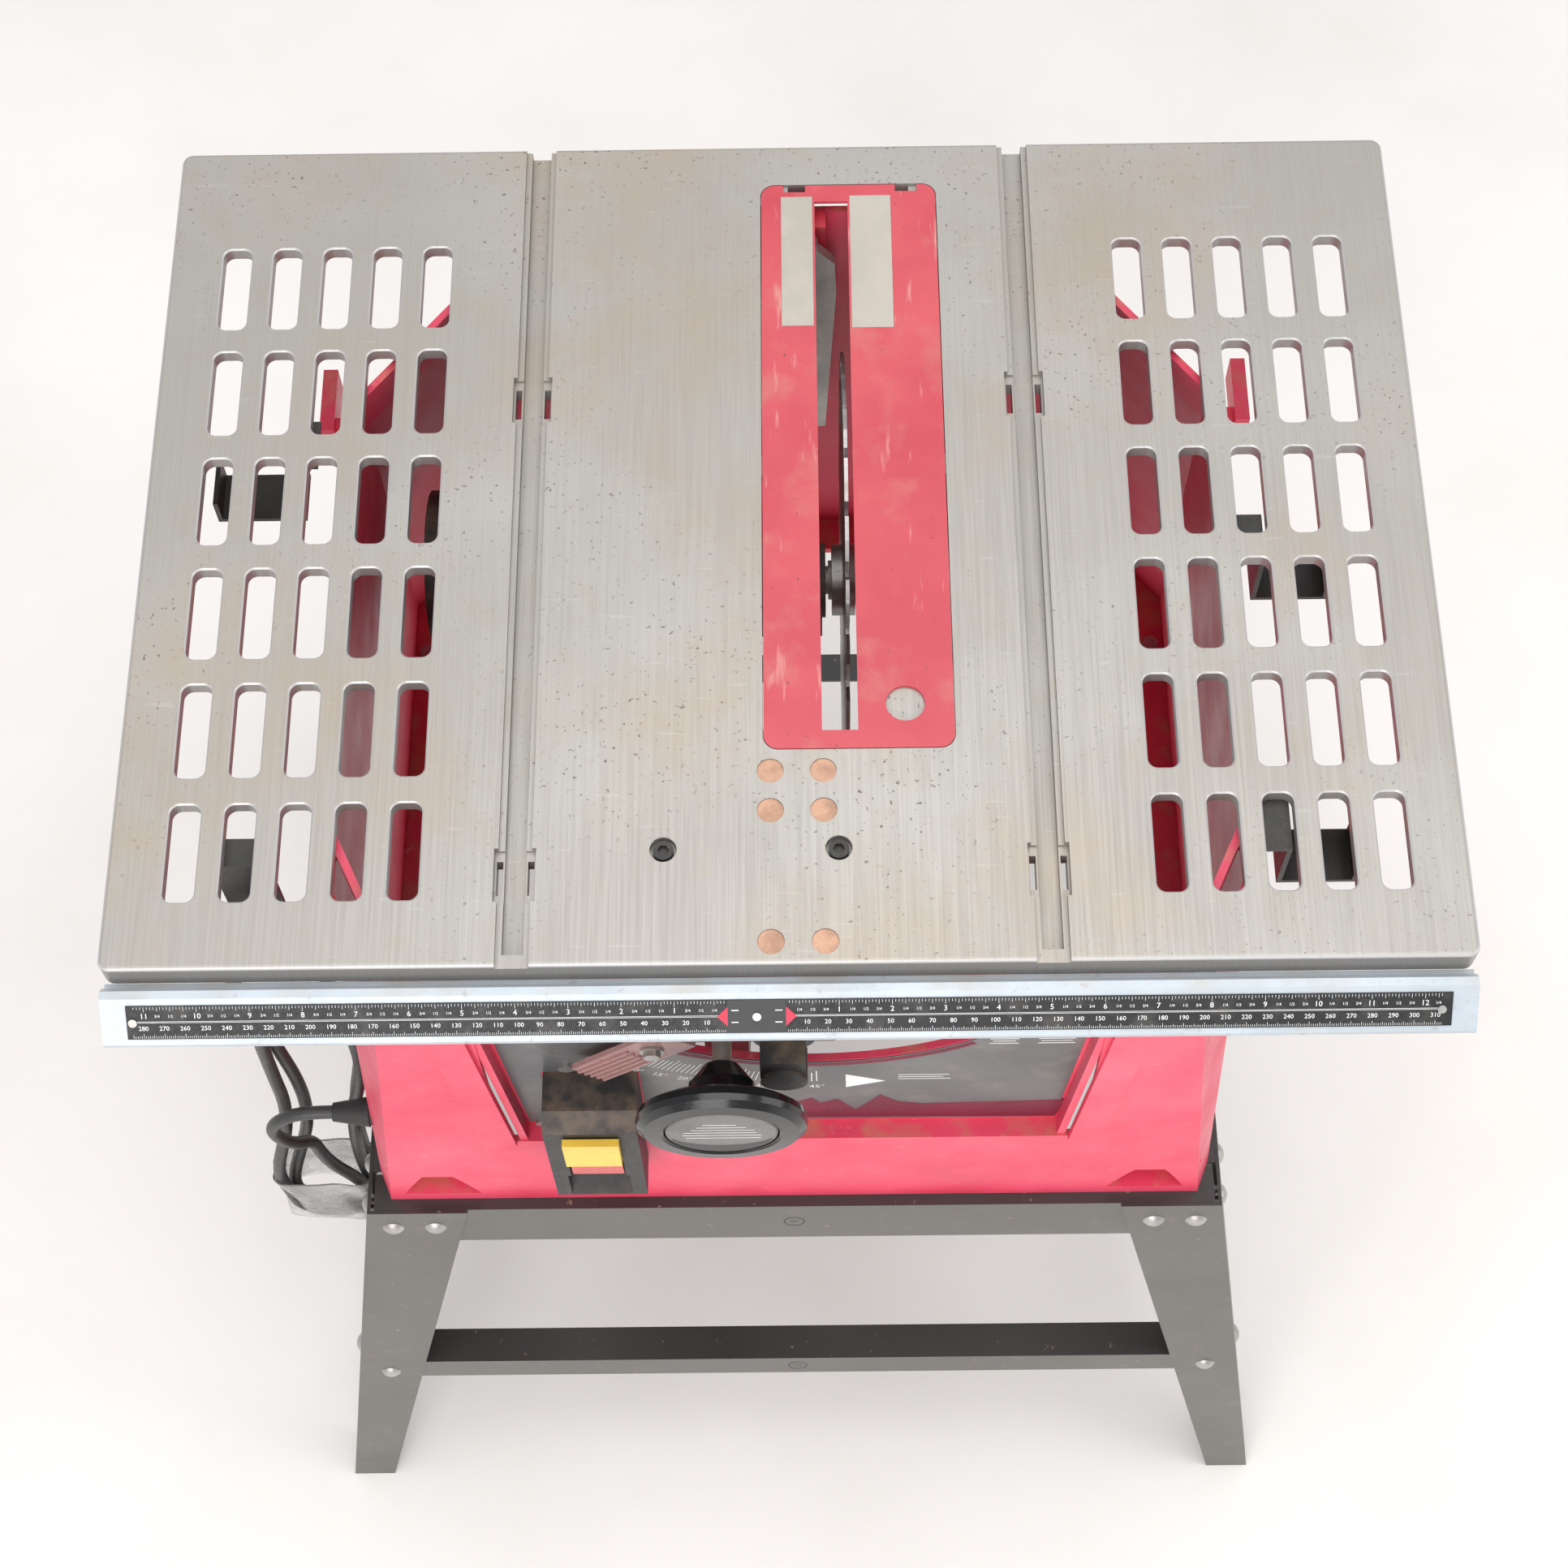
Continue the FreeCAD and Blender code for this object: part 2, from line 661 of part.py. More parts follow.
HOUSING_TOP_DROP = 34
NECK_TOP_DROP = 14.3
FOOT_PLAN = housing_plan(236, 243, 11.5, 390, 191.7, number(HOUSING_FRONT))
SHOULDER_PLAN = housing_plan(203, 229, 53.5, 331, 131.2, number(HOUSING_FRONT))
BENCH_HOLES = tuple((x, y) for x in (-204, 204) for y in (14, 437))
BASE_BOLTS = tuple((x, y) for x in (-230.5, 230.5) for y in (94.5, 354.5))
PANEL_FLOOR = number(HOUSING_FRONT) + number(PANEL_RECESS)
WALL_BACK = PANEL_FLOOR + number(HOUSING_WALL)
LABEL_FRONT = PANEL_FLOOR - 0.6
SLOT_INNER = 80
SLOT_OUTER = 128
SLOT_START = -48.5
SLOT_END = 40.5


def housing_shell():
    """The moulded tub: flared sides, a neck that goes up inside the table's skirt, and a base flange."""
    body = new_body("tub")
    walls = [number(HOUSING_WALL)] * 8
    lower = sketch(body, "xy", -HOUSING_DROP)
    polygon(lower, FOOT_PLAN)
    upper = sketch(body, "xy", -HOUSING_TOP_DROP)
    polygon(upper, SHOULDER_PLAN)
    loft(body, lower, upper)
    inner_lower = sketch(body, "xy", -HOUSING_DROP)
    polygon(inner_lower, inset(FOOT_PLAN, walls))
    inner_upper = sketch(body, "xy", -HOUSING_TOP_DROP)
    polygon(inner_upper, inset(SHOULDER_PLAN, walls))
    loft(body, inner_lower, inner_upper, take_away=True)
    neck_plan = housing_plan(194, 229, 82, 331, 131.2, 8)
    neck = sketch(body, "xy", -HOUSING_TOP_DROP - 4)
    inner_neck = inset(neck_plan, [4] * 8)
    polygon(neck, neck_plan)
    polygon(neck, inner_neck)
    pad(body, neck, HOUSING_TOP_DROP + 4 - NECK_TOP_DROP)
    flange = sketch(body, "xy", -HOUSING_DROP)
    polygon(flange, inset(FOOT_PLAN, [1] * 8))
    polygon(flange, inset(FOOT_PLAN, [26] * 8))
    pad(body, flange, 5)
    return body


def front_ledge():
    """Closes the step between the front wall and the neck."""
    return box((-198, HOUSING_FRONT + 1, -HOUSING_TOP_DROP - 4), (198, 11, -HOUSING_TOP_DROP))


def panel_outline(margin):
    """The front panel's outline, narrower at the bottom, grown by a margin."""
    bottom = number(PANEL_BOTTOM) + margin
    return ((-160 - margin, -34), (160 + margin, -34), (146 + margin, -bottom), (-146 - margin, -bottom))


def wall_cut(outline, front, deep):
    """A straight pocket into the front wall from an outline in x and z."""
    spots = [Vector(x, front, z) for x, z in outline]
    face = Part.Face(Part.makePolygon(spots + spots[:1]))
    return shaped(face.extrude(Vector(0, deep, 0)))


def pilaster(side):
    """A raised slanting rib beside the front panel."""
    drop = number(PANEL_BOTTOM)
    front = number(HOUSING_FRONT)
    outline = ((side * 186, -36), (side * 166, -36), (side * 152, -drop), (side * 170, -drop))
    spots = [Vector(x, front + 1, z) for x, z in outline]
    face = Part.Face(Part.makePolygon(spots + spots[:1]))
    return shaped(face.extrude(Vector(0, -4, 0)))


def cord_hook(side):
    """A moulded hook high on the back corner of the housing."""
    arm = box((side * 236 - 14, 345, -78), (side * 236 + 14, 357, -70))
    tip = box((side * 252 - 4, 345, -84), (side * 252 + 4, 385, -64))
    return join([arm, tip])


def housing():
    """The whole moulding: the tub, its corner bosses, ribs and cut-outs."""
    front = number(HOUSING_FRONT)
    pan = wall_cut(panel_outline(number(HOUSING_WALL)), front + 1, WALL_BACK - front - 1)
    recess = wall_cut(panel_outline(0), front - 6, PANEL_FLOOR - front + 6)
    ceiling = box((-170, front - 7, -HOUSING_TOP_DROP - 4), (170, PANEL_FLOOR, -HOUSING_TOP_DROP + 2))
    arc_slot = shaped(sector(SLOT_INNER, SLOT_OUTER, SLOT_START, SLOT_END, PANEL_FLOOR - 1, 12))
    switch_hole = box((SWITCH_X - 21, front - 2, -SWITCH_BOTTOM_DROP + 6),
                      (SWITCH_X + 21, WALL_BACK + 1, -SWITCH_TOP_DROP - 6))
    bosses = []
    hollows = []
    for x, y in BENCH_HOLES:
        outward = -1 if y < 100 else 1
        near = y + outward * 17 if outward > 0 else y - 17
        bosses.append(box((x - 29, min(near, y + 30 * -outward), -HOUSING_DROP),
                          (x + 29, max(near, y + 30 * -outward), -HOUSING_DROP + 46)))
        hollows.append(cone((x, y + outward * 9, -HOUSING_DROP + 10), "z", 25, 14, 31))
        hollows.append(rod((x, y, -HOUSING_DROP - 1), "z", 4, 14))
    bolt_holes = [rod((x, y, -HOUSING_DROP - 1), "z", 3.3, 8) for x, y in BASE_BOLTS]
    relief_hole = rod((-250, RELIEF_Y, RELIEF_Z), "x", 7.6, 30)
    drills = [rod((x, front - 1, z), "y", 1.8, 20) for x, z in rack_screw_places()]
    drills += [rod((x, front + 6, z), "y", 1.62, 12) for x, z in SWITCH_SCREWS]
    tub = cut(housing_shell(), [box((-159, front - 1, -number(PANEL_BOTTOM)), (159, front + 5, -40))])
    ledge = cut(front_ledge(), [ceiling])
    shell = join([tub, pan, ledge, pilaster(-1), pilaster(1), cord_hook(-1), cord_hook(1)] + bosses)
    moulding = cut(shell, [recess, arc_slot, switch_hole, relief_hole] + hollows + bolt_holes + drills)
    in_table_frame(moulding)
    return node(moulding, "housing")


def front_label():
    """The dark printed sheet on the front panel's floor, open over the slot and the switch."""
    sheet = wall_cut(((-157, -39), (157, -39), (145, -239), (-145, -239)), LABEL_FRONT, 0.6)
    arc_slot = shaped(sector(SLOT_INNER - 1, SLOT_OUTER + 1, SLOT_START - 1, SLOT_END + 1, LABEL_FRONT - 1, 4))
    switch_hole = box((SWITCH_X - 26, LABEL_FRONT - 2, -280),
                      (SWITCH_X + 26, LABEL_FRONT + 3, -SWITCH_TOP_DROP + 1))
    drills = [rod((x, LABEL_FRONT - 1, z), "y", 1.8, 3) for x, z in rack_screw_places() + list(SWITCH_SCREWS)]
    label = cut(sheet, [arc_slot, switch_hole] + drills)
    in_table_frame(label)
    return node(label, "front_label")


# ---------------------------------------------------------------- bevel rack, pinion and front controls

SHAFT_RADIUS_FROM_PIVOT = number(RACK_PITCH_RADIUS) * (1 - number(PINION_TEETH) / number(RACK_TEETH_ROUND))
SHAFT_X = number(PIVOT_X) - number(SHAFT_OFFSET)
SHAFT_Z = -number(PIVOT_DROP) - math.sqrt(SHAFT_RADIUS_FROM_PIVOT ** 2 - number(SHAFT_OFFSET) ** 2)
SHAFT_ANGLE = -math.degrees(math.asin(number(SHAFT_OFFSET) / SHAFT_RADIUS_FROM_PIVOT))
RACK_MODULE = 2 * number(RACK_PITCH_RADIUS) / number(RACK_TEETH_ROUND)
RACK_FRONT = 20
RACK_THICK = 7
RACK_START = -58
RACK_END = 50


def rack_screw_places():
    """Middles of the rack's two end bosses, on the front wall."""
    return [polar(number(RACK_PITCH_RADIUS) + 7, angle) for angle in (RACK_START + 4, RACK_END - 4)]


def tooth(centre_angle, pitch, root, tip, base_share, tip_share, to_point):
    """Four corners of one straight-sided tooth."""
    half_base = pitch * base_share / 2
    half_tip = pitch * tip_share / 2
    return [to_point(root, centre_angle - half_base), to_point(tip, centre_angle - half_tip),
            to_point(tip, centre_angle + half_tip), to_point(root, centre_angle + half_base)]


def tilt_rack():
    """The toothed arc behind the panel that the pinion climbs to tilt the blade."""
    pitch = 360 / number(RACK_TEETH_ROUND)
    module = RACK_MODULE
    ring = number(RACK_PITCH_RADIUS)
    root = ring + 1.15 * module
    tip = ring - 0.8 * module
    arc = sector(root, root + 10, RACK_START, RACK_END, RACK_FRONT, RACK_THICK)
    teeth = []
    first = math.ceil((SLOT_START - 3 - SHAFT_ANGLE) / pitch)
    last = math.floor((SLOT_END + 4 - SHAFT_ANGLE) / pitch)
    for step in range(first, last + 1):
        corners = tooth(SHAFT_ANGLE + step * pitch, pitch, root + 0.5, tip, 0.62, 0.26, polar)
        spots = [Vector(x, RACK_FRONT, z) for x, z in corners]
        teeth.append(Part.Face(Part.makePolygon(spots + spots[:1])).extrude(Vector(0, RACK_THICK, 0)))
    solid = arc.multiFuse(teeth).removeSplitter()
    bosses = [rod((x, WALL_BACK, z), "y", 5.5, RACK_FRONT - WALL_BACK + 1) for x, z in rack_screw_places()]
    drills = [rod((x, -1, z), "y", 1.8, 24) for x, z in rack_screw_places()]
    rack = cut(join([shaped(solid)] + bosses), drills)
    in_table_frame(rack)
    return node(rack, "tilt_rack")


def around(x, z):
    """A polar function about a shaft that runs along y."""
    return lambda radius, degrees: (x + radius * math.sin(math.radians(degrees)),
                                    z - radius * math.cos(math.radians(degrees)))


def spur(teeth, module, length, phase, to_point, base, out):
    """A straight-toothed gear solid; phase is the angle of one tooth's middle."""
    pitch_radius = module * teeth / 2
    root = pitch_radius - 1.2 * module
    tip = pitch_radius + 0.8 * module
    corners = []
    for index in range(teeth):
        angle = phase + index * 360 / teeth
        corners += tooth(angle, 360 / teeth, root, tip, 0.66, 0.24, to_point)
    spots = [base(a, b) for a, b in corners]
    return Part.Face(Part.makePolygon(spots + spots[:1])).extrude(out * length)


PINION_REST = 9.5
SHAFT_JOURNAL = 5
SLEEVE_FRONT = 26
SLEEVE_BACK = 42
SLEEVE_RADIUS = 8
HEX_SHARE = 5.2
DRIVE_GEAR_FRONT = 53
HEX_LENGTH = 6.5
SCREW_Y = 72


def hexagon(base, axis, circumradius, height):
    """A hexagonal prism along +x, +y or +z."""
    prism = DOC.addObject("Part::Prism", "hexagon")
    prism.Polygon = 6
    prism.Circumradius = circumradius
    prism.Height = height
    prism.Placement = Placement(Vector(), TURN[axis])
    place(prism, *base)
    return prism


def handwheel_shaft():
    """The control shaft: tilt pinion, two collars on its sleeve and a hexagon end for the lift gear."""
    phase = SHAFT_ANGLE + 180 / number(PINION_TEETH)
    pinion = spur(int(number(PINION_TEETH)), RACK_MODULE, 7, phase, around(SHAFT_X, SHAFT_Z),
                  lambda x, z: Vector(x, PINION_REST, z), Vector(0, 1, 0))
    journal = rod((SHAFT_X, -43, SHAFT_Z), "y", SHAFT_JOURNAL, 43 + SLEEVE_BACK + 3)
    collars = [rod((SHAFT_X, SLEEVE_FRONT - 2.6, SHAFT_Z), "y", 7, 2.5),
               rod((SHAFT_X, SLEEVE_BACK + 0.1, SHAFT_Z), "y", 7, 2.5)]
    neck = rod((SHAFT_X, SLEEVE_BACK + 2, SHAFT_Z), "y", 3.6, DRIVE_GEAR_FRONT + 1 - SLEEVE_BACK)
    end = hexagon((SHAFT_X, DRIVE_GEAR_FRONT + 0.5, SHAFT_Z), "y", HEX_SHARE, HEX_LENGTH)
    shaft = join([shaped(pinion), journal, neck, end] + collars)
    in_table_frame(shaft)
    return node(shaft, "handwheel_shaft")


def shaft_sleeve():
    """The bush that slides in the tilt frame when the wheel is pushed in."""
    sleeve = ring((SHAFT_X, SLEEVE_FRONT, SHAFT_Z), "y", SLEEVE_RADIUS, SHAFT_JOURNAL + 0.05,
                  SLEEVE_BACK - SLEEVE_FRONT)
    in_table_frame(sleeve)
    return node(sleeve, "shaft_sleeve")


def handwheel():
    """The dished wheel, its long hub and the boss for a crank knob."""
    rim = number(WHEEL_RADIUS)
    body = new_body("wheel")
    drawing = sketch(body, "xy")
    outline = ((5.05, -39), (29, -39), (29.5, -45), (31, -46), (39.5, -45.2), (43.2, -42.2), (44, -39),
               (42.6, -34.8), (39, -32.6), (34, -32.4), (29.5, -34.6), (17, -34.6), (17, -19), (9, -9), (5.05, -9))
    polygon(drawing, [(a * rim / 44, b) for a, b in outline])
    turned = body.newObject("PartDesign::Revolution", "turned")
    turned.Profile = drawing
    turned.ReferenceAxis = (drawing, ["V_Axis"])
    turned.Angle = 360
    wheel = join([body, rod((-21.2, -38, 19.4), "y", 6.5, 7)])
    wheel = cut(wheel, [rod((-21.2, -50, 19.4), "y", 3, 30)])
    nose = cut(wheel, [rod((0, -47, 0), "y", 5.05, 7)])
    place(nose, SHAFT_X, TABLE_FRONT, TABLE_TOP + SHAFT_Z)
    return node(nose, "handwheel")


LOCK_X = -3
LOCK_Z = -106


def bevel_lock_lever():
    """The lever that clamps the tilt frame to the front panel."""
    hub = rod((LOCK_X, -22, LOCK_Z), "y", 12, 18)
    wing = wall_cut(((LOCK_X - 12, LOCK_Z + 22), (LOCK_X - 12, LOCK_Z - 9), (LOCK_X + 8, LOCK_Z - 9),
                     (LOCK_X + 11, LOCK_Z - 4), (LOCK_X + 11, LOCK_Z + 22)), -20, 12)
    washer = rod((LOCK_X, LABEL_FRONT - 3, LOCK_Z), "y", 16, 2.95)
    neck = rod((LOCK_X, -5, LOCK_Z), "y", 9, LABEL_FRONT + 3)
    bore = rod((LOCK_X, -19, LOCK_Z), "y", 5.05, 30)
    lever = cut(join([hub, wing, neck, washer]), [bore])
    in_table_frame(lever)
    return node(lever, "bevel_lock_lever")


POINTER_ANGLE = -44
POINTER_SCREW_RADIUS = 117


def radial_plate(inner, outer, half_inner, half_outer, front, deep):
    """A plate that runs outwards from the tilt axis along the pointer's line."""
    turn = math.radians(POINTER_ANGLE)
    out = Vector(math.sin(turn), 0, -math.cos(turn))
    across = Vector(math.cos(turn), 0, math.sin(turn))
    pivot = Vector(number(PIVOT_X), front, -number(PIVOT_DROP))
    spots = [pivot + out * inner - across * half_inner, pivot + out * outer - across * half_outer,
             pivot + out * outer + across * half_outer, pivot + out * inner + across * half_inner]
    return Part.Face(Part.makePolygon(spots + spots[:1])).extrude(Vector(0, deep, 0))


def bevel_pointer():
    """The clear pointer that reads the bevel scale, ribbed along its length."""
    plate = radial_plate(98, 166, 13, 12, -4.6, 3)
    ribs = []
    turn = math.radians(POINTER_ANGLE)
    across = Vector(math.cos(turn), 0, math.sin(turn))
    for step in (-2, -1, 0, 1, 2):
        rib = radial_plate(126, 165, 0.8, 0.8, -6.2, 1.7)
        rib.translate(across * step * 4.2)
        ribs.append(rib)
    x, z = polar(POINTER_SCREW_RADIUS, POINTER_ANGLE)
    hole = rod((x, -10, z), "y", 2.3, 12)
    pointer = cut(shaped(plate.multiFuse(ribs).removeSplitter()), [hole])
    in_table_frame(pointer)
    return node(pointer, "bevel_pointer")


def pointer_screw():
    """Hexagon screw and washer of the pointer."""
    x, z = polar(POINTER_SCREW_RADIUS, POINTER_ANGLE)
    washer = rod((x, -6, z), "y", 6.2, 1.35)
    head = hexagon((x, -9, z), "y", 4.6, 3.2)
    shank = rod((x, -6, z), "y", 2, 10)
    screw = join([washer, head, shank])
    in_table_frame(screw)
    return node(screw, "pointer_screw")


# ---------------------------------------------------------------- tilt frame and lift

ROD_X = -2
ROD_FRONT = 52
ROD_BACK = 418
ROD_RADIUS = 6
FRAME_FRONT = 34
FRAME_BACK = 430
PLATE = 6
EAR_RADIUS = 8.5


def frame_plate(front):
    """One end plate of the tilt frame, with its ear round the pivot."""
    outline = ((3, -21), (19, -21), (29, -34), (30, -60), (24, -196),
               (-58, -196), (-66, -130), (-52, -100), (-14, -36))
    return join([wall_cut(outline, front, PLATE), rod((PIVOT_X, front, -PIVOT_DROP), "y", EAR_RADIUS, PLATE)])


def tilt_frame():
    """The cradle that tilts: two end plates, a tie bar, rod lugs, the clamp stud and the pointer's arm."""
    parts = [frame_plate(FRAME_FRONT), frame_plate(FRAME_BACK)]
    parts.append(box((ROD_X - 10, FRAME_FRONT, -206), (ROD_X + 10, FRAME_BACK + PLATE, -194)))
    for near, far in ((FRAME_FRONT, ROD_FRONT + 9), (ROD_BACK - 9, FRAME_BACK + PLATE)):
        for low in (-36, -194):
            parts.append(box((ROD_X - 11, near, low), (ROD_X + 11, far, low + 12)))
    parts.append(rod((LOCK_X, -18, LOCK_Z), "y", 5, FRAME_FRONT + 21))
    parts.append(shaped(radial_plate(98, 106, 3.5, 3.5, -1.5, FRAME_FRONT + 3)))
    parts.append(shaped(radial_plate(100, 123, 5, 5, -1.5, 3)))
    parts.append(shaped(radial_plate(60, 106, 8, 6, FRAME_FRONT, PLATE)))
    parts.append(rod((SHAFT_X, FRAME_FRONT, SHAFT_Z), "y", 12, PLATE))
    shelf = box((-47, FRAME_FRONT, -246), (-23, SCREW_Y + 12, -240))
    web = box((-47, FRAME_FRONT, -246), (-23, FRAME_FRONT + PLATE, -190))
    parts += [shelf, web]
    holes = [rod((SHAFT_X, FRAME_FRONT - 1, SHAFT_Z), "y", SLEEVE_RADIUS + 0.05, PLATE + 2),
             rod((PIVOT_X, 0, -PIVOT_DROP), "y", PIVOT_PIN, 470),
             rod((ROD_X, ROD_FRONT, -200), "z", ROD_RADIUS, 190),
             rod((ROD_X, ROD_BACK, -200), "z", ROD_RADIUS, 190),
             rod((SHAFT_X, SCREW_Y, -250), "z", 4.05, 20)]
    x, z = polar(POINTER_SCREW_RADIUS, POINTER_ANGLE)
    holes.append(rod((x, -4, z), "y", 2, 12))
    frame = cut(join(parts), holes)
    in_table_frame(frame)
    return node(frame, "tilt_frame")


def pivot_pins():
    """The two pins that the tilt frame swings on."""
    front = rod((PIVOT_X, 14, -PIVOT_DROP), "y", PIVOT_PIN, FRAME_FRONT + PLATE - 14)
    back = rod((PIVOT_X, FRAME_BACK, -PIVOT_DROP), "y", PIVOT_PIN, 19)
    pins = group([front, back])
    in_table_frame(pins)
    return node(pins, "pivot_pins")


def guide_rods():
    """The two upright rods that the carriage slides on."""
    rods = group([rod((ROD_X, y, -194), "z", ROD_RADIUS, 170) for y in (ROD_FRONT, ROD_BACK)])
    in_table_frame(rods)
    return node(rods, "guide_rods")


ARM_X = -66
NUT_LOW = -236
NUT_TALL = 12


def arbor_carriage():
    """The casting that carries arbor and motor: two sleeves, a beam, the arbor boss and the nut's arm."""
    axle = -number(ARBOR_DROP)
    sleeves = [rod((ROD_X, y, -165), "z", 10.5, 42) for y in (ROD_FRONT, ROD_BACK)]
    beam = box((ROD_X - 8, ROD_FRONT + 8, -158), (ROD_X + 8, ROD_BACK - 8, -134))
    boss = rod((-28, ARBOR_Y, axle), "x", 21, 50)
    bridge = box((-28, ARBOR_Y - 21, -158), (20, ARBOR_Y + 21, axle))
    link = box((ARM_X, 88.5, -156), (ROD_X, 98, -136))
    arm = box((ARM_X, 62, NUT_LOW), (ARM_X + 12, 98, -136))
    lug = box((ARM_X, 62, NUT_LOW), (SHAFT_X + 11, 82, NUT_LOW + NUT_TALL))
    solid = join(sleeves + [beam, boss, bridge, link, arm, lug])
    holes = [rod((ROD_X, y, -170), "z", ROD_RADIUS + 0.06, 52) for y in (ROD_FRONT, ROD_BACK)]
    holes.append(rod((-29, ARBOR_Y, axle), "x", 14, 9))
    holes.append(rod((14, ARBOR_Y, axle), "x", 14, 9))
    holes.append(rod((-29, ARBOR_Y, axle), "x", 10, 52))
    holes.append(rod((SHAFT_X, SCREW_Y, NUT_LOW - 1), "z", 8, NUT_TALL + 2))
    carriage = cut(solid, holes)
    in_table_frame(carriage)
    return node(carriage, "arbor_carriage")


def ring(base, axis, outer, inner, length):
    """A plain ring."""
    sign = {"x": (1, 0, 0), "y": (0, 1, 0), "z": (0, 0, 1)}[axis]
    start = tuple(value - step for value, step in zip((number(v) for v in base), sign))
    return cut(rod(base, axis, outer, length), [rod(start, axis, inner, number(length) + 2)])


def arbor_bearings():
    """Two ball bearings in the arbor boss, as plain rings."""
    axle = -number(ARBOR_DROP)
    rings = group([ring((x, ARBOR_Y, axle), "x", 14, number(ARBOR_RADIUS) + 0.05, 8) for x in (-28, 14)])
    in_table_frame(rings)
    return node(rings, "arbor_bearings")


def elevation_nut():
    """The bronze nut in the carriage's arm."""
    nut = ring((SHAFT_X, SCREW_Y, NUT_LOW), "z", 8, 6.06, NUT_TALL)
    in_table_frame(nut)
    return node(nut, "elevation_nut")


BEVEL_PITCH = 14
BEVEL_TEETH = 16
BEVEL_FACE = 6


def bevel_gear(phase, spot_at):
    """A bevel gear of a one-to-one right-angle pair; spot_at takes it from its own axis to its place."""
    shares = (1, (BEVEL_PITCH - BEVEL_FACE) / BEVEL_PITCH)
    wires = []
    for share in shares:
        corners = []
        for index in range(BEVEL_TEETH):
            pitch = 360 / BEVEL_TEETH
            corners += tooth(phase + index * pitch, pitch,
                             (BEVEL_PITCH - 2.1) * share, (BEVEL_PITCH + 1.1) * share,
                             0.66, 0.22, around(0, 0))
        spots = [spot_at(a, b, BEVEL_PITCH * share) for a, b in corners]
        wires.append(Part.makePolygon(spots + spots[:1]))
    return Part.makeLoft(wires, True, True)


def elevation_screw():
    """The lift screw, with its driven bevel gear on top."""
    top = SHAFT_Z - BEVEL_PITCH
    stem = rod((SHAFT_X, SCREW_Y, -239.9), "z", 6, 239.9 + top + 2)
    tail = rod((SHAFT_X, SCREW_Y, -247), "z", 4, 8)
    collar = rod((SHAFT_X, SCREW_Y, top - 4), "z", 9, 4.2)
    gear = bevel_gear(0, lambda a, b, far: Vector(SHAFT_X + a, SCREW_Y + b, SHAFT_Z - far))
    screw = join([stem, tail, shaped(gear), collar])
    in_table_frame(screw)
    return node(screw, "elevation_screw")


def drive_gear():
    """The bevel gear that the shaft's hexagon end turns; beyond the hexagon its bore is wide."""
    back = SCREW_Y - BEVEL_PITCH
    gear = bevel_gear(180 / BEVEL_TEETH, lambda a, b, far: Vector(SHAFT_X + a, SCREW_Y - far, SHAFT_Z + b))
    collar = rod((SHAFT_X, DRIVE_GEAR_FRONT, SHAFT_Z), "y", 9, back - DRIVE_GEAR_FRONT + 0.2)
    bore = hexagon((SHAFT_X, DRIVE_GEAR_FRONT - 1, SHAFT_Z), "y", HEX_SHARE + 0.12, HEX_LENGTH + 2)
    wide = rod((SHAFT_X, DRIVE_GEAR_FRONT + HEX_LENGTH + 1, SHAFT_Z), "y", HEX_SHARE + 0.4, 20)
    gear = cut(join([shaped(gear), collar]), [bore, wide])
    in_table_frame(gear)
    return node(gear, "drive_gear")


# ---------------------------------------------------------------- blade, arbor and motor

BLADE_TEETH = 24
ARBOR_GEAR_TEETH = 36
MOTOR_PINION_TEETH = 10
MOTOR_REACH = number(GEAR_MODULE) * (ARBOR_GEAR_TEETH + MOTOR_PINION_TEETH) / 2
MOTOR_Y = number(ARBOR_Y) + MOTOR_REACH / math.sqrt(2)
MOTOR_Z = -number(ARBOR_DROP) - MOTOR_REACH / math.sqrt(2)
MOTOR_RADIUS = 45
GEAR_X = -41
GEAR_WIDE = 10


def saw_blade():
    """The ten inch blade: a disc with gullets and a tip on each tooth."""
    radius = number(BLADE_RADIUS)
    thick = number(BLADE_BODY)
    left = number(BLADE_X) - thick / 2
    axle = -number(ARBOR_DROP)
    centre_y = number(ARBOR_Y)
    spots = []
    for index in range(BLADE_TEETH):
        for share, reach in ((0.0, radius), (0.05, radius - 12), (0.16, radius - 14), (0.3, radius - 5),
                             (0.62, radius - 2.2)):
            turn = 2 * math.pi * (index + share) / BLADE_TEETH
            spots.append(Vector(left, centre_y + reach * math.sin(turn), axle + reach * math.cos(turn)))
    disc = Part.Face(Part.makePolygon(spots + spots[:1])).extrude(Vector(thick, 0, 0))
    bore = Part.makeCylinder(number(ARBOR_RADIUS) + 0.03, thick + 2,
                             Vector(left - 1, centre_y, axle), Vector(1, 0, 0))
    blade = shaped(disc.cut(bore))
    in_table_frame(blade)
    return node(blade, "saw_blade")


def arbor_shaft():
    """The arbor: gear seat, bearing journals, a shoulder and the threaded nose."""
    axle = -number(ARBOR_DROP)
    inner_face = number(BLADE_X) - number(BLADE_BODY) / 2 - 6
    shaft = rod((GEAR_X - 3, ARBOR_Y, axle), "x", ARBOR_RADIUS, 51 - GEAR_X + 3)
    shoulder = rod((inner_face - 2, ARBOR_Y, axle), "x", 11, 2)
    arbor = join([shaft, shoulder])
    in_table_frame(arbor)
    return node(arbor, "arbor_shaft")


def blade_flanges():
    """The inner and outer clamping flanges."""
    axle = -number(ARBOR_DROP)
    half = number(BLADE_BODY) / 2
    inner = ring((BLADE_X - half - 6, ARBOR_Y, axle), "x", 20, number(ARBOR_RADIUS), 6)
    outer = ring((BLADE_X + half, ARBOR_Y, axle), "x", 20, number(ARBOR_RADIUS), 5)
    flanges = group([inner, outer])
    in_table_frame(flanges)
    return node(flanges, "blade_flanges")


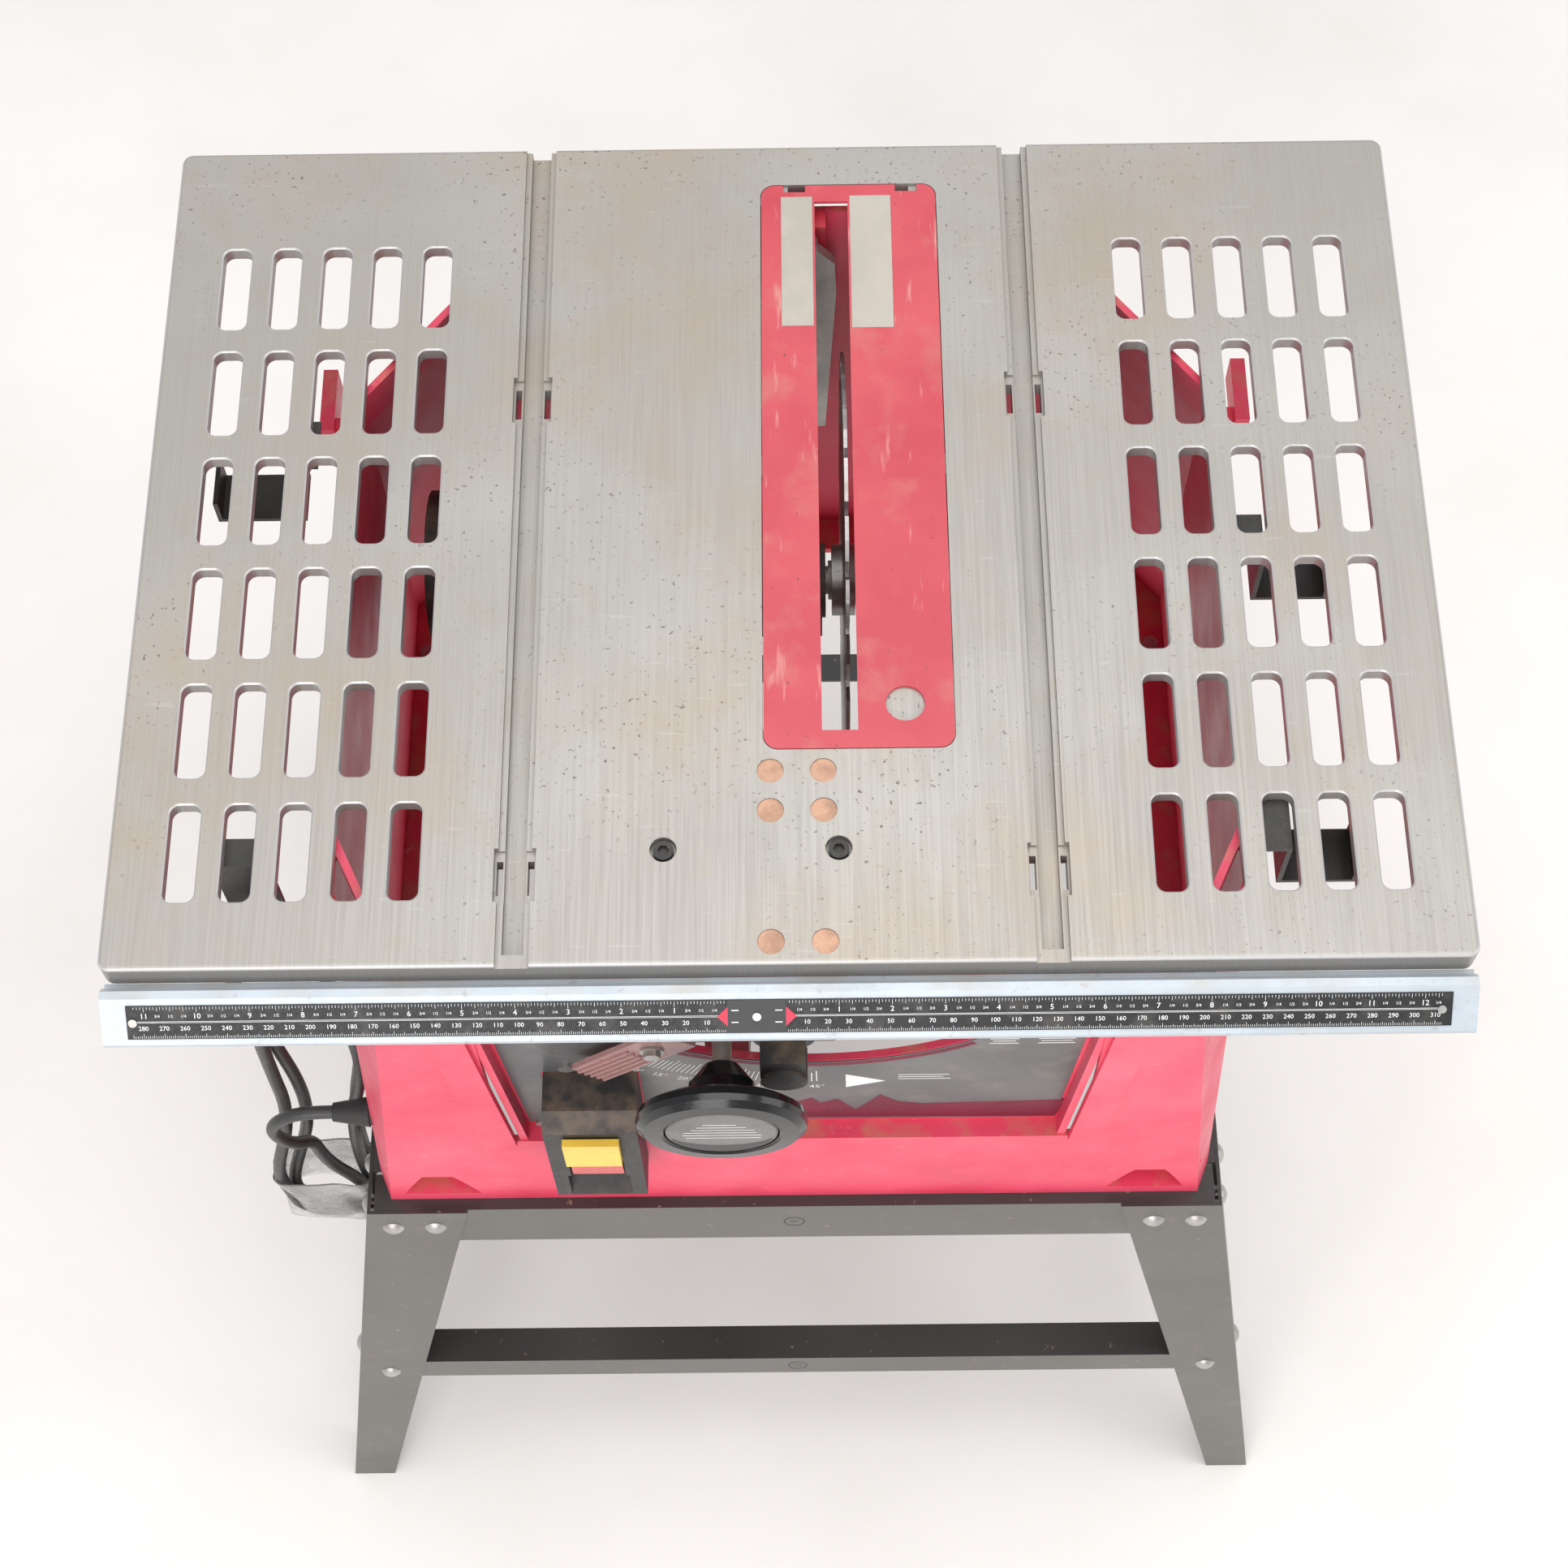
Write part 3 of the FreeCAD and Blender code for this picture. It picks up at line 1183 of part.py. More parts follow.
def arbor_nut():
    """The hexagon nut that clamps the blade."""
    axle = -number(ARBOR_DROP)
    nut = hexagon((BLADE_X + BLADE_BODY / 2 + 5, ARBOR_Y, axle), "x", 13.5, 9)
    nut = cut(nut, [rod((30, ARBOR_Y, axle), "x", ARBOR_RADIUS, 30)])
    in_table_frame(nut)
    return node(nut, "arbor_nut")


def about_axle(y, z):
    """A polar function about a shaft that runs along x, from the upward direction."""
    return lambda radius, degrees: (y + radius * math.sin(math.radians(degrees)),
                                    z + radius * math.cos(math.radians(degrees)))


def arbor_gear():
    """The large reduction gear on the arbor."""
    axle = -number(ARBOR_DROP)
    phase = 135
    solid = spur(ARBOR_GEAR_TEETH, number(GEAR_MODULE), GEAR_WIDE, phase, about_axle(number(ARBOR_Y), axle),
                 lambda y, z: Vector(GEAR_X, y, z), Vector(1, 0, 0))
    gear = cut(shaped(solid), [rod((GEAR_X - 1, ARBOR_Y, axle), "x", ARBOR_RADIUS, GEAR_WIDE + 2)])
    in_table_frame(gear)
    return node(gear, "arbor_gear")


def armature():
    """The motor's rotor: pinion, shaft, laminated core, commutator and fan."""
    phase = 135 + 180 + 180 / MOTOR_PINION_TEETH
    pinion = spur(MOTOR_PINION_TEETH, number(GEAR_MODULE), GEAR_WIDE, phase, about_axle(MOTOR_Y, MOTOR_Z),
                  lambda y, z: Vector(GEAR_X, y, z), Vector(1, 0, 0))
    shaft = rod((-196, MOTOR_Y, MOTOR_Z), "x", 5, 196 + GEAR_X)
    core = rod((-140, MOTOR_Y, MOTOR_Z), "x", 24, 55)
    commutator = rod((-176, MOTOR_Y, MOTOR_Z), "x", 13, 20)
    fan = rod((-74, MOTOR_Y, MOTOR_Z), "x", 36, 8)
    rotor = join([shaped(pinion), shaft, core, commutator, fan])
    in_table_frame(rotor)
    return node(rotor, "armature")


def motor_housing():
    """The motor's can and, cast with it, the case round the reduction gears."""
    axle = -number(ARBOR_DROP)
    can = rod((-180, MOTOR_Y, MOTOR_Z), "x", MOTOR_RADIUS, 122)
    hollow = rod((-181, MOTOR_Y, MOTOR_Z), "x", MOTOR_RADIUS - 5, 119)
    case = [rod((-59, ARBOR_Y, axle), "x", 33, 30.9),
            rod((-59, MOTOR_Y, MOTOR_Z), "x", MOTOR_RADIUS - 10, 30.9)]
    inner = [rod((-54, ARBOR_Y, axle), "x", 29.5, 23.9), rod((-54, MOTOR_Y, MOTOR_Z), "x", 12, 23.9)]
    mouths = [rod((-70, MOTOR_Y, MOTOR_Z), "x", 7, 20), rod((-34, ARBOR_Y, axle), "x", 14.1, 8)]
    casting = cut(join([can] + case), [hollow] + inner + mouths)
    in_table_frame(casting)
    return node(casting, "motor_housing")


def motor_end_cap():
    """The motor's end cap, with the back bearing seat and two brush caps."""
    cap = rod((-202, MOTOR_Y, MOTOR_Z), "x", MOTOR_RADIUS, 22)
    hollow = rod((-197, MOTOR_Y, MOTOR_Z), "x", MOTOR_RADIUS - 5, 18)
    seat = rod((-197, MOTOR_Y, MOTOR_Z), "x", 12, 8)
    bore = rod((-197.5, MOTOR_Y, MOTOR_Z), "x", 5.06, 10)
    brushes = [rod((-190, MOTOR_Y + side * 40 - (8 if side < 0 else 0), MOTOR_Z), "y", 6, 8)
               for side in (-1, 1)]
    end = cut(join([cut(cap, [hollow]), seat] + brushes), [bore])
    in_table_frame(end)
    return node(end, "motor_end_cap")


# ---------------------------------------------------------------- switch

def switch_box():
    """The hooded switch housing: a back block, a hood over the rocker, two cheeks and a scoop."""
    left = SWITCH_X - SWITCH_WIDE / 2
    right = SWITCH_X + SWITCH_WIDE / 2
    case = box((left, SWITCH_FACE, -number(PANEL_BOTTOM) + 1), (right, PANEL_FLOOR, -SWITCH_TOP_DROP))
    foot = box((left, SWITCH_FACE, -SWITCH_BOTTOM_DROP), (right, HOUSING_FRONT, -number(PANEL_BOTTOM) + 1))
    tail = box((SWITCH_X - 20, HOUSING_FRONT - 1, -SWITCH_BOTTOM_DROP + 8),
               (SWITCH_X + 20, 30, -SWITCH_TOP_DROP - 8))
    chamfer = wall_side(((-30, -168), (-30, -158), (-14, -158)), number(left) - 1, number(SWITCH_WIDE) + 2)
    window = box((SWITCH_X - 15, SWITCH_FACE - 1, -242), (SWITCH_X + 15, -12, -178))
    scoop = wall_side(((-30, -272), (-30, -236), (-14, -236), (-14, -246)), number(SWITCH_X) - 17, 34)
    hollow = box((SWITCH_X - 17, -13, -SWITCH_BOTTOM_DROP + 12), (SWITCH_X + 17, 27, -SWITCH_TOP_DROP - 12))
    pin_bore = rod((SWITCH_X - 16.7, ROCKER_Y, ROCKER_Z), "x", 2.06, 33.4)
    case = cut(join([case, foot, tail]), [chamfer, window, scoop, hollow, pin_bore])
    in_table_frame(case)
    return node(case, "switch_box")


def wall_side(outline, left, wide):
    """A solid along x from an outline in y and z."""
    spots = [Vector(left, y, z) for y, z in outline]
    face = Part.Face(Part.makePolygon(spots + spots[:1]))
    return shaped(face.extrude(Vector(wide, 0, 0)))


ROCKER_Y = -14
ROCKER_Z = -210


def switch_rocker():
    """The red rocker, with a socket for the key in its upper half."""
    left = number(SWITCH_X) - 14
    outline = ((-26.5, -184), (-28.5, -208), (-27, -236), (-13.5, -236), (-13.5, -184))
    rocker = wall_side(outline, left, 28)
    pins = rod((SWITCH_X - 16.5, ROCKER_Y, ROCKER_Z), "x", 2, 33)
    socket = box((SWITCH_X - 10.2, -34, -204.2), (SWITCH_X + 10.2, -20, -187.8))
    rocker = cut(join([rocker, pins]), [socket])
    in_table_frame(rocker)
    return node(rocker, "switch_rocker")


def safety_key():
    """The yellow key that pulls out of the rocker."""
    body = box((SWITCH_X - 10, -30, -204), (SWITCH_X + 10, -20.2, -188))
    cap = box((SWITCH_X - 15, -33, -205), (SWITCH_X + 15, -28.8, -172))
    key = join([body, cap])
    in_table_frame(key)
    return node(key, "safety_key")


SWITCH_SCREWS = ((-118, -150), (-88, -150), (-137.5, -237.4))


def switch_screws():
    """Pan-headed screws beside the switch."""
    screws = []
    for x, z in SWITCH_SCREWS:
        head = rod((x, LABEL_FRONT - 2.3, z), "y", 4.2, 2.3)
        shank = rod((x, LABEL_FRONT - 1, z), "y", 1.6, 5.4)
        screws.append(join([head, shank]))
    screws = group(screws)
    in_table_frame(screws)
    return node(screws, "switch_screws")


# ---------------------------------------------------------------- stand

def corner_at(height):
    """Half width and half depth of the stand's outer corner lines at a height."""
    share = 1 - height / number(STAND_HEIGHT)
    x = number(STAND_TOP_X) + (number(STAND_FOOT_X) - number(STAND_TOP_X)) * share
    y = number(STAND_TOP_Y) + (number(STAND_FOOT_Y) - number(STAND_TOP_Y)) * share
    return x, y


def angle_outline(x, y, flange, side_x, side_y):
    """An L section with its outer corner at x, y; the sides say which quarter it stands in."""
    steel = STEEL
    points = ((x, y), (x - flange, y), (x - flange, y - steel), (x - steel, y - steel),
              (x - steel, y - flange), (x, y - flange))
    return [(a * side_x, b * side_y) for a, b in points]


TOP_BOLT_HEIGHT = 449
BRACE_BOLT_HEIGHT = 209
TOP_BOLTS_ACROSS = (237, 212)
BRACE_BOLT_ACROSS = 270
TOP_BOLTS_BACK = (226, 201)
BRACE_BOLT_BACK = 247


def leg(name, side_x, side_y):
    """A tapered angle-steel leg, splayed both ways, with holes in both flanges."""
    body = new_body(name)
    lower = sketch(body, "xy")
    polygon(lower, angle_outline(STAND_FOOT_X, STAND_FOOT_Y, LEG_FOOT_FLANGE, side_x, side_y))
    upper = sketch(body, "xy", STAND_HEIGHT)
    polygon(upper, angle_outline(STAND_TOP_X, STAND_TOP_Y, LEG_TOP_FLANGE, side_x, side_y))
    loft(body, lower, upper)
    across = sketch(body, "xz")
    for x in TOP_BOLTS_ACROSS:
        circle(across, side_x * x, TOP_BOLT_HEIGHT, STAND_BOLT + 0.6)
    circle(across, side_x * BRACE_BOLT_ACROSS, BRACE_BOLT_HEIGHT, STAND_BOLT + 0.6)
    pocket(body, across)
    back = sketch(body, "yz")
    for y in TOP_BOLTS_BACK:
        circle(back, side_y * y, TOP_BOLT_HEIGHT, STAND_BOLT + 0.6)
    circle(back, side_y * BRACE_BOLT_BACK, BRACE_BOLT_HEIGHT, STAND_BOLT + 0.6)
    pocket(body, back)
    return node(body, name)


def bar_section(reach_top, reach_bottom, top, tall, deep):
    """An angle section whose face leans with the legs: reach is the distance out from the middle."""
    steel = number(STEEL)
    return ((reach_top, top), (reach_bottom, top - tall), (reach_bottom - steel, top - tall),
            (reach_top - steel, top - steel), (reach_top - deep, top - steel), (reach_top - deep, top))


def bar(name, along, side, top, tall, deep, half_length, holes, hole_height):
    """A rail or brace: along x at the front and back, along y at the sides."""
    steel = number(STEEL)
    index = 1 if along == "x" else 0
    clear = steel + 0.1
    section = bar_section(corner_at(top)[index] - clear, corner_at(top - tall)[index] - clear, top, tall, deep)
    body = new_body(name)
    if along == "x":
        profile = sketch(body, "yz")
        polygon(profile, [(side * a, b) for a, b in section])
    else:
        profile = sketch(body, "xz")
        polygon(profile, [(side * a, b) for a, b in section])
    pad(body, profile, 2 * half_length, midplane=True)
    drill = sketch(body, "xz" if along == "x" else "yz")
    for place_along in holes:
        for end in (-1, 1):
            circle(drill, end * place_along, hole_height, STAND_BOLT + 0.6)
    pocket(body, drill)
    if tall == number(TOP_RAIL_TALL) and along == "y":
        base_holes = sketch(body, "xy")
        for x, y in BASE_BOLTS:
            if x * side > 0:
                circle(base_holes, x, y + number(TABLE_FRONT), 3.3)
        pocket(body, base_holes)
    return node(body, name)


def stand_bars():
    """The four top rails and the four lower braces."""
    top = number(STAND_HEIGHT)
    tall = number(TOP_RAIL_TALL)
    deep = number(TOP_RAIL_DEEP)
    brace = number(BRACE_TOP)
    brace_tall = number(BRACE_TALL)
    brace_deep = number(BRACE_DEEP)
    bar("top_rail_front", "x", -1, top, tall, deep, 246, TOP_BOLTS_ACROSS, TOP_BOLT_HEIGHT)
    bar("top_rail_back", "x", 1, top, tall, deep, 246, TOP_BOLTS_ACROSS, TOP_BOLT_HEIGHT)
    bar("top_rail_left", "y", -1, top, tall, deep, 213, TOP_BOLTS_BACK[1:], TOP_BOLT_HEIGHT)
    bar("top_rail_right", "y", 1, top, tall, deep, 213, TOP_BOLTS_BACK[1:], TOP_BOLT_HEIGHT)
    bar("lower_brace_front", "x", -1, brace, brace_tall, brace_deep, 280,
        (BRACE_BOLT_ACROSS,), BRACE_BOLT_HEIGHT)
    bar("lower_brace_back", "x", 1, brace, brace_tall, brace_deep, 280, (BRACE_BOLT_ACROSS,), BRACE_BOLT_HEIGHT)
    bar("lower_brace_left", "y", -1, brace - 2.2, brace_tall, brace_deep, 262,
        (BRACE_BOLT_BACK,), BRACE_BOLT_HEIGHT)
    bar("lower_brace_right", "y", 1, brace - 2.2, brace_tall, brace_deep, 262,
        (BRACE_BOLT_BACK,), BRACE_BOLT_HEIGHT)


def bolt_places():
    """Every stand bolt: its point on the leg's outer face and the direction square to that face, inwards."""
    tall = number(STAND_HEIGHT)
    lean_x = number(STAND_FOOT_X) - number(STAND_TOP_X)
    lean_y = number(STAND_FOOT_Y) - number(STAND_TOP_Y)
    top_x, top_y = corner_at(TOP_BOLT_HEIGHT)
    low_x, low_y = corner_at(BRACE_BOLT_HEIGHT)
    for sx in (-1, 1):
        for sy in (-1, 1):
            from_face = Vector(0, -sy * tall, -lean_y).normalize()
            from_side = Vector(-sx * tall, 0, -lean_x).normalize()
            for x in TOP_BOLTS_ACROSS:
                yield Vector(sx * x, sy * top_y, TOP_BOLT_HEIGHT), from_face
            for y in TOP_BOLTS_BACK:
                yield Vector(sx * top_x, sy * y, TOP_BOLT_HEIGHT), from_side
            yield Vector(sx * BRACE_BOLT_ACROSS, sy * low_y, BRACE_BOLT_HEIGHT), from_face
            yield Vector(sx * low_x, sy * BRACE_BOLT_BACK, BRACE_BOLT_HEIGHT), from_side


def domed_bolt(spot, inward):
    """A carriage bolt: a shallow dome outside, its shank through leg and bar."""
    shank = Part.makeCylinder(number(STAND_BOLT), 12.5, spot - inward * 0.5, inward)
    ball = Part.makeSphere(8, spot + inward * 4.8)
    dome = ball.common(Part.makeCylinder(7, 3.4, spot - inward * 3.4, inward))
    return dome.fuse(shank).removeSplitter()


def hex_nut(spot, inward):
    """The nut behind the bar."""
    start = spot + inward * 4.5
    across = Vector(0, 0, 1)
    flat = (across - inward * across.dot(inward)).normalize()
    corners = [start + Rotation(inward, 60 * step).multVec(flat) * 5.6 for step in range(7)]
    prism = Part.Face(Part.makePolygon(corners)).extrude(inward * 4.6)
    return prism.cut(Part.makeCylinder(number(STAND_BOLT) + 0.05, 12, start - inward, inward))


def stand_bolts():
    """All the stand's carriage bolts."""
    return node(shaped(Part.makeCompound([domed_bolt(*spot) for spot in bolt_places()])), "stand_bolts")


def stand_nuts():
    """All the stand's nuts."""
    return node(shaped(Part.makeCompound([hex_nut(*spot) for spot in bolt_places()])), "stand_nuts")


def base_bolts():
    """Four bolts with nuts that hold the housing down on the side rails."""
    solids = []
    for x, y in BASE_BOLTS:
        spot = Vector(x, y + number(TABLE_FRONT), number(STAND_HEIGHT))
        up = Vector(0, 0, 1)
        head = Part.makeCylinder(5, 4, spot + up * 5.1, up)
        solids.append(head.fuse(Part.makeCylinder(2.9, 18, spot - up * 10, up)).removeSplitter())
        nut = Part.makeCylinder(5, 4.5, spot - up * 7, up)
        solids.append(nut.cut(Part.makeCylinder(2.95, 20, spot - up * 12, up)))
    return node(shaped(Part.makeCompound(solids)), "base_bolts")


# ---------------------------------------------------------------- storage brackets under the table

def storage_bracket(left, right, y, drop):
    """A bent strip under the table's wing: foot, hanger on the inner side, shelf and outer lip."""
    inner, outer, inward = (right, left, 1) if left < 0 else (left, right, -1)

    def upright(x, low, high):
        spots = sorted((x, x - 2.5 * math.copysign(1, x) * (1 if x == outer else -1)))
        return box((spots[0], y - 14, low), (spots[1], y + 14, high))

    foot = sorted((inner, inner + inward * 14))
    strip = [upright(inner, -drop, -TABLE_PLATE), upright(outer, -drop, -drop + 18),
             box((left, y - 14, -drop), (right, y + 14, -drop + 2.5)),
             box((foot[0], y - 14, -TABLE_PLATE - 2.5), (foot[1], y + 14, -TABLE_PLATE))]
    return join(strip)


def cord_bracket():
    """The front left bracket, which the cord's hank hangs on."""
    hanger = box((HANK_X - 14, 57, -66), (HANK_X + 14, 59.5, -TABLE_PLATE))
    foot = box((HANK_X - 14, 57, -TABLE_PLATE - 2.5), (HANK_X + 14, 72, -TABLE_PLATE))
    prong = box((HANK_X - 7, 26, -66), (HANK_X + 7, 58, -63.5))
    lip = box((HANK_X - 7, 26, -66), (HANK_X + 7, 28.5, -44))
    return join([hanger, foot, prong, lip])


def storage_brackets():
    """Four bent steel brackets under the table's wings, for the cord, the fence and the tools."""
    brackets = group([cord_bracket(), storage_bracket(-306, -258, 300, 62),
                      storage_bracket(244, 284, 74, 48), storage_bracket(244, 284, 236, 48)])
    in_table_frame(brackets)
    return node(brackets, "storage_brackets")


# ---------------------------------------------------------------- cord

RELIEF_Y = 25.5
RELIEF_Z = -280
HANK_X = -267
HANK_FRONT = 34
HANK_THICK = 20

CORD_ROUTE = (
    (-262, -199, 535),
    (-279, -199, 535),
    (-294, -200, 526),
    (-302, -200, 510),
    (-301, -199, 491),
    (-295, -196, 470),
    (-288, -187, 451),
)


def wall_at(drop):
    """Half width of the housing's side at a drop below the table's face."""
    top = HOUSING_TOP_DROP
    return 229 + (243 - 229) * (drop - top) / (number(HOUSING_DROP) - top)


def tube(route, radius, name):
    """A round cord along straight runs joined by arcs as large as the runs allow."""
    points = [Vector(*point) for point in route]
    edges = []
    start = points[0]
    radii = []
    length = 0
    for before, here, after in zip(points, points[1:], points[2:]):
        into = (here - before).normalize()
        out = (after - here).normalize()
        turn = into.getAngle(out)
        reach = 0.45 * min((here - before).Length, (after - here).Length)
        bend = reach / math.tan(turn / 2)
        radii.append(bend)
        first = here - into * reach
        last = here + out * reach
        inward = (out - into).normalize()
        middle = here + inward * (math.hypot(reach, bend) - bend)
        edges.append(Part.makeLine(start, first))
        edges.append(Part.Arc(first, middle, last).toShape())
        start = last
    edges.append(Part.makeLine(start, points[-1]))
    length = sum(edge.Length for edge in edges)
    path = Part.Wire(edges)
    section = Part.Wire(Part.makeCircle(radius, points[0], points[1] - points[0]))
    solid = path.makePipeShell([section], True, False, 1)
    share = solid.Volume / (math.pi * radius ** 2 * length)
    print(name, "length %.0f mm, radii" % length, [round(r) for r in radii], "volume ratio %.4f" % share)
    return solid


def power_cord():
    """The lead from its strain relief to the hank."""
    return node(shaped(tube(CORD_ROUTE, number(CORD_RADIUS), "power_cord")), "power_cord")


HANK_OUTLINE = ((-296, -84), (-288, -66), (-276, -56), (-267, -54), (-258, -56), (-246, -66), (-238.5, -84),
                (-238.5, -217), (-242, -269), (-253, -318), (-260, -377), (-262, -425), (-260, -440), (-258, -490),
                (-260, -502), (-304, -502), (-318, -479), (-323, -455), (-323, -425), (-320, -392), (-309, -365),
                (-301, -350), (-300, -295), (-296, -215))
HANK_UPPER_HOLE = ((-288, -86), (-282, -72), (-274, -63.4), (-260, -63.4), (-252, -72), (-246.5, -86),
                   (-246.5, -188), (-288, -188))
HANK_LOWER_HOLE = ((-275, -218), (-256, -218), (-256, -269), (-264, -325), (-276, -350), (-281, -300))


def cord_hank():
    """The folded lead, tied at its waist and hung on the front bracket: its outer shape as one solid."""
    body = new_body("hank")
    outline = sketch(body, "xz", -HANK_FRONT - HANK_THICK)
    for points in (HANK_OUTLINE, HANK_UPPER_HOLE, HANK_LOWER_HOLE):
        polygon(outline, points)
    pad(body, outline, HANK_THICK)
    in_table_frame(body)
    return node(body, "cord_hank")


def cord_tie():
    """The clear plastic film tied round the hank's lower end."""
    low, high = -494, -432
    back = HANK_FRONT + HANK_THICK
    outer = box((-325.4, HANK_FRONT - 2, low), (-255.6, back + 2, high))
    inner = box((-323.4, HANK_FRONT, low - 1), (-257.6, back, high + 1))
    tie = cut(outer, [inner])
    in_table_frame(tie)
    return node(tie, "cord_tie")


def power_plug():
    """A moulded plug with two flat blades and a round earth pin, under the hank."""
    x, y, top = -266, 50, -502
    neck = cone((x, y, top - 14), "z", 7.5, 5, 14)
    grip = box((x - 12, y - 9.5, top - 42), (x + 12, y + 9.5, top - 14))
    face = box((x - 14, y - 12, top - 50), (x + 14, y + 12, top - 42))
    blades = [box((x + side * 6.35 - 0.75, y - 6, top - 66), (x + side * 6.35 + 0.75, y + 0.5, top - 49))
              for side in (-1, 1)]
    earth = rod((x, y + 7.5, top - 69), "z", 2.4, 20)
    plug = join([neck, grip, face, earth] + blades)
    in_table_frame(plug)
    return node(plug, "power_plug")


def strain_relief():
    """The tapered rubber gland in the housing's left side."""
    wall = wall_at(-RELIEF_Z)
    taper = cone((-262, RELIEF_Y, RELIEF_Z), "x", 5.4, 8.8, 262 - wall - 0.6)
    stem = rod((-wall - 1.5, RELIEF_Y, RELIEF_Z), "x", 7.4, 12)
    head = rod((-wall + 6.8, RELIEF_Y, RELIEF_Z), "x", 10, 3)
    relief = join([taper, stem, head])
    in_table_frame(relief)
    return node(relief, "strain_relief")


def main():
    """Builds every sub-part, checks it and writes its file."""
    table_top()
    front_rail()
    rail_scale()
    scale_rivets()
    throat_plate()
    wear_plates()
    table_plugs()
    trunnion_screws()
    front_trunnion_mount()
    rear_trunnion_mount()
    housing()
    front_label()
    tilt_rack()
    switch_box()
    switch_rocker()
    safety_key()
    switch_screws()
    storage_brackets()
    strain_relief()
    power_cord()
    cord_hank()
    cord_tie()
    power_plug()
    for name, side_x, side_y in (("leg_front_left", -1, -1), ("leg_front_right", 1, -1),
                                 ("leg_back_left", -1, 1), ("leg_back_right", 1, 1)):
        leg(name, side_x, side_y)
    stand_bars()
    stand_bolts()
    stand_nuts()
    base_bolts()
    tilt_frame()
    pivot_pins()
    guide_rods()
    bevel_pointer()
    pointer_screw()
    bevel_lock_lever()
    arbor_carriage()
    arbor_bearings()
    elevation_nut()
    elevation_screw()
    drive_gear()
    motor_housing()
    motor_end_cap()
    armature()
    saw_blade()
    arbor_shaft()
    blade_flanges()
    arbor_nut()
    arbor_gear()
    handwheel()
    handwheel_shaft()
    shaft_sleeve()
    DOC.recompute()
    bad = [item.Label for item in DOC.Objects if "Invalid" in item.State or "Error" in item.State]
    for name, item in NODES:
        if item.Shape.isNull() or not item.Shape.isValid():
            bad.append(name)
    if bad:
        sys.exit("failed: " + ", ".join(bad))
    os.makedirs("parts", exist_ok=True)
    for name, item in NODES:
        item.Shape.exportStep("parts/" + name + ".step")
    print(len(NODES), "sub-parts")


main()
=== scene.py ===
"""The looks of the benchtop table saw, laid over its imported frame.

Places on the saw are given in millimetres from the table's front edge (x to the right, y to the back,
z up from the table's face) and turned into the frame's metres by at(). The cord and its tie are given in
the frame's own millimetres, from the floor up.
"""

import json
import math
import random

import bpy
from mathutils import Matrix, Vector


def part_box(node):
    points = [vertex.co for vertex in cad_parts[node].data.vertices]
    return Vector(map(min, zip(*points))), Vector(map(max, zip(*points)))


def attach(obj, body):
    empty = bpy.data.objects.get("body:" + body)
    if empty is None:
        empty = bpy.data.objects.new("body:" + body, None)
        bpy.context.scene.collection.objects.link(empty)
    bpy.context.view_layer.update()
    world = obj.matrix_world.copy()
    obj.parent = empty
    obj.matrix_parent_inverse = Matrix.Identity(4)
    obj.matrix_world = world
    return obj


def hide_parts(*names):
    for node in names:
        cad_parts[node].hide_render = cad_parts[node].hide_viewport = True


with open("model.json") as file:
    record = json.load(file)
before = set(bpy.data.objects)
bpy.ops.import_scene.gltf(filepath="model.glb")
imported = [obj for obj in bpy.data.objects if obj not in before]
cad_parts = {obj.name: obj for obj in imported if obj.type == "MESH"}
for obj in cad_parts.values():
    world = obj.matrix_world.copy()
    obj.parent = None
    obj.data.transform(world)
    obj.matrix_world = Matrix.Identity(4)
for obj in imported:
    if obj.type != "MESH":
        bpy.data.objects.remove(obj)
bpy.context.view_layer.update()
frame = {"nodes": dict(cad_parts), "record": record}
nodes = frame["nodes"]
scene = bpy.context.scene

MM = 0.001
TABLE_FRONT = -224.5
TABLE_HEIGHT = 815


def at(x, y, z):
    """A point given from the table's front edge and face, in the frame's metres."""
    return Vector((x, y + TABLE_FRONT, z + TABLE_HEIGHT)) * MM


# ---------------------------------------------------------------- camera

CAMERA_PLACE = (0.0093, -0.728, 2.0513)
YAW, PITCH, ROLL = -0.99, 64.18, -1.55
LENS, SENSOR = 64.3, 36


def place_camera():
    """A long lens above and in front of the saw, looking steeply down."""
    yaw, pitch, roll = (math.radians(angle) for angle in (YAW, PITCH, ROLL))
    look = Vector((math.sin(yaw) * math.cos(pitch), math.cos(yaw) * math.cos(pitch), -math.sin(pitch)))
    level = Vector((math.cos(yaw), -math.sin(yaw), 0))
    steep = level.cross(look)
    right = math.cos(roll) * level + math.sin(roll) * steep
    up = math.cos(roll) * steep - math.sin(roll) * level
    camera = bpy.data.objects.new("camera", bpy.data.cameras.new("camera"))
    camera.data.lens = LENS
    camera.data.sensor_width = SENSOR
    turn = Matrix((right, up, -look)).transposed().to_4x4()
    camera.matrix_world = Matrix.Translation(CAMERA_PLACE) @ turn
    scene.collection.objects.link(camera)
    scene.camera = camera


place_camera()
scene.view_settings.view_transform = "Standard"


# ---------------------------------------------------------------- materials

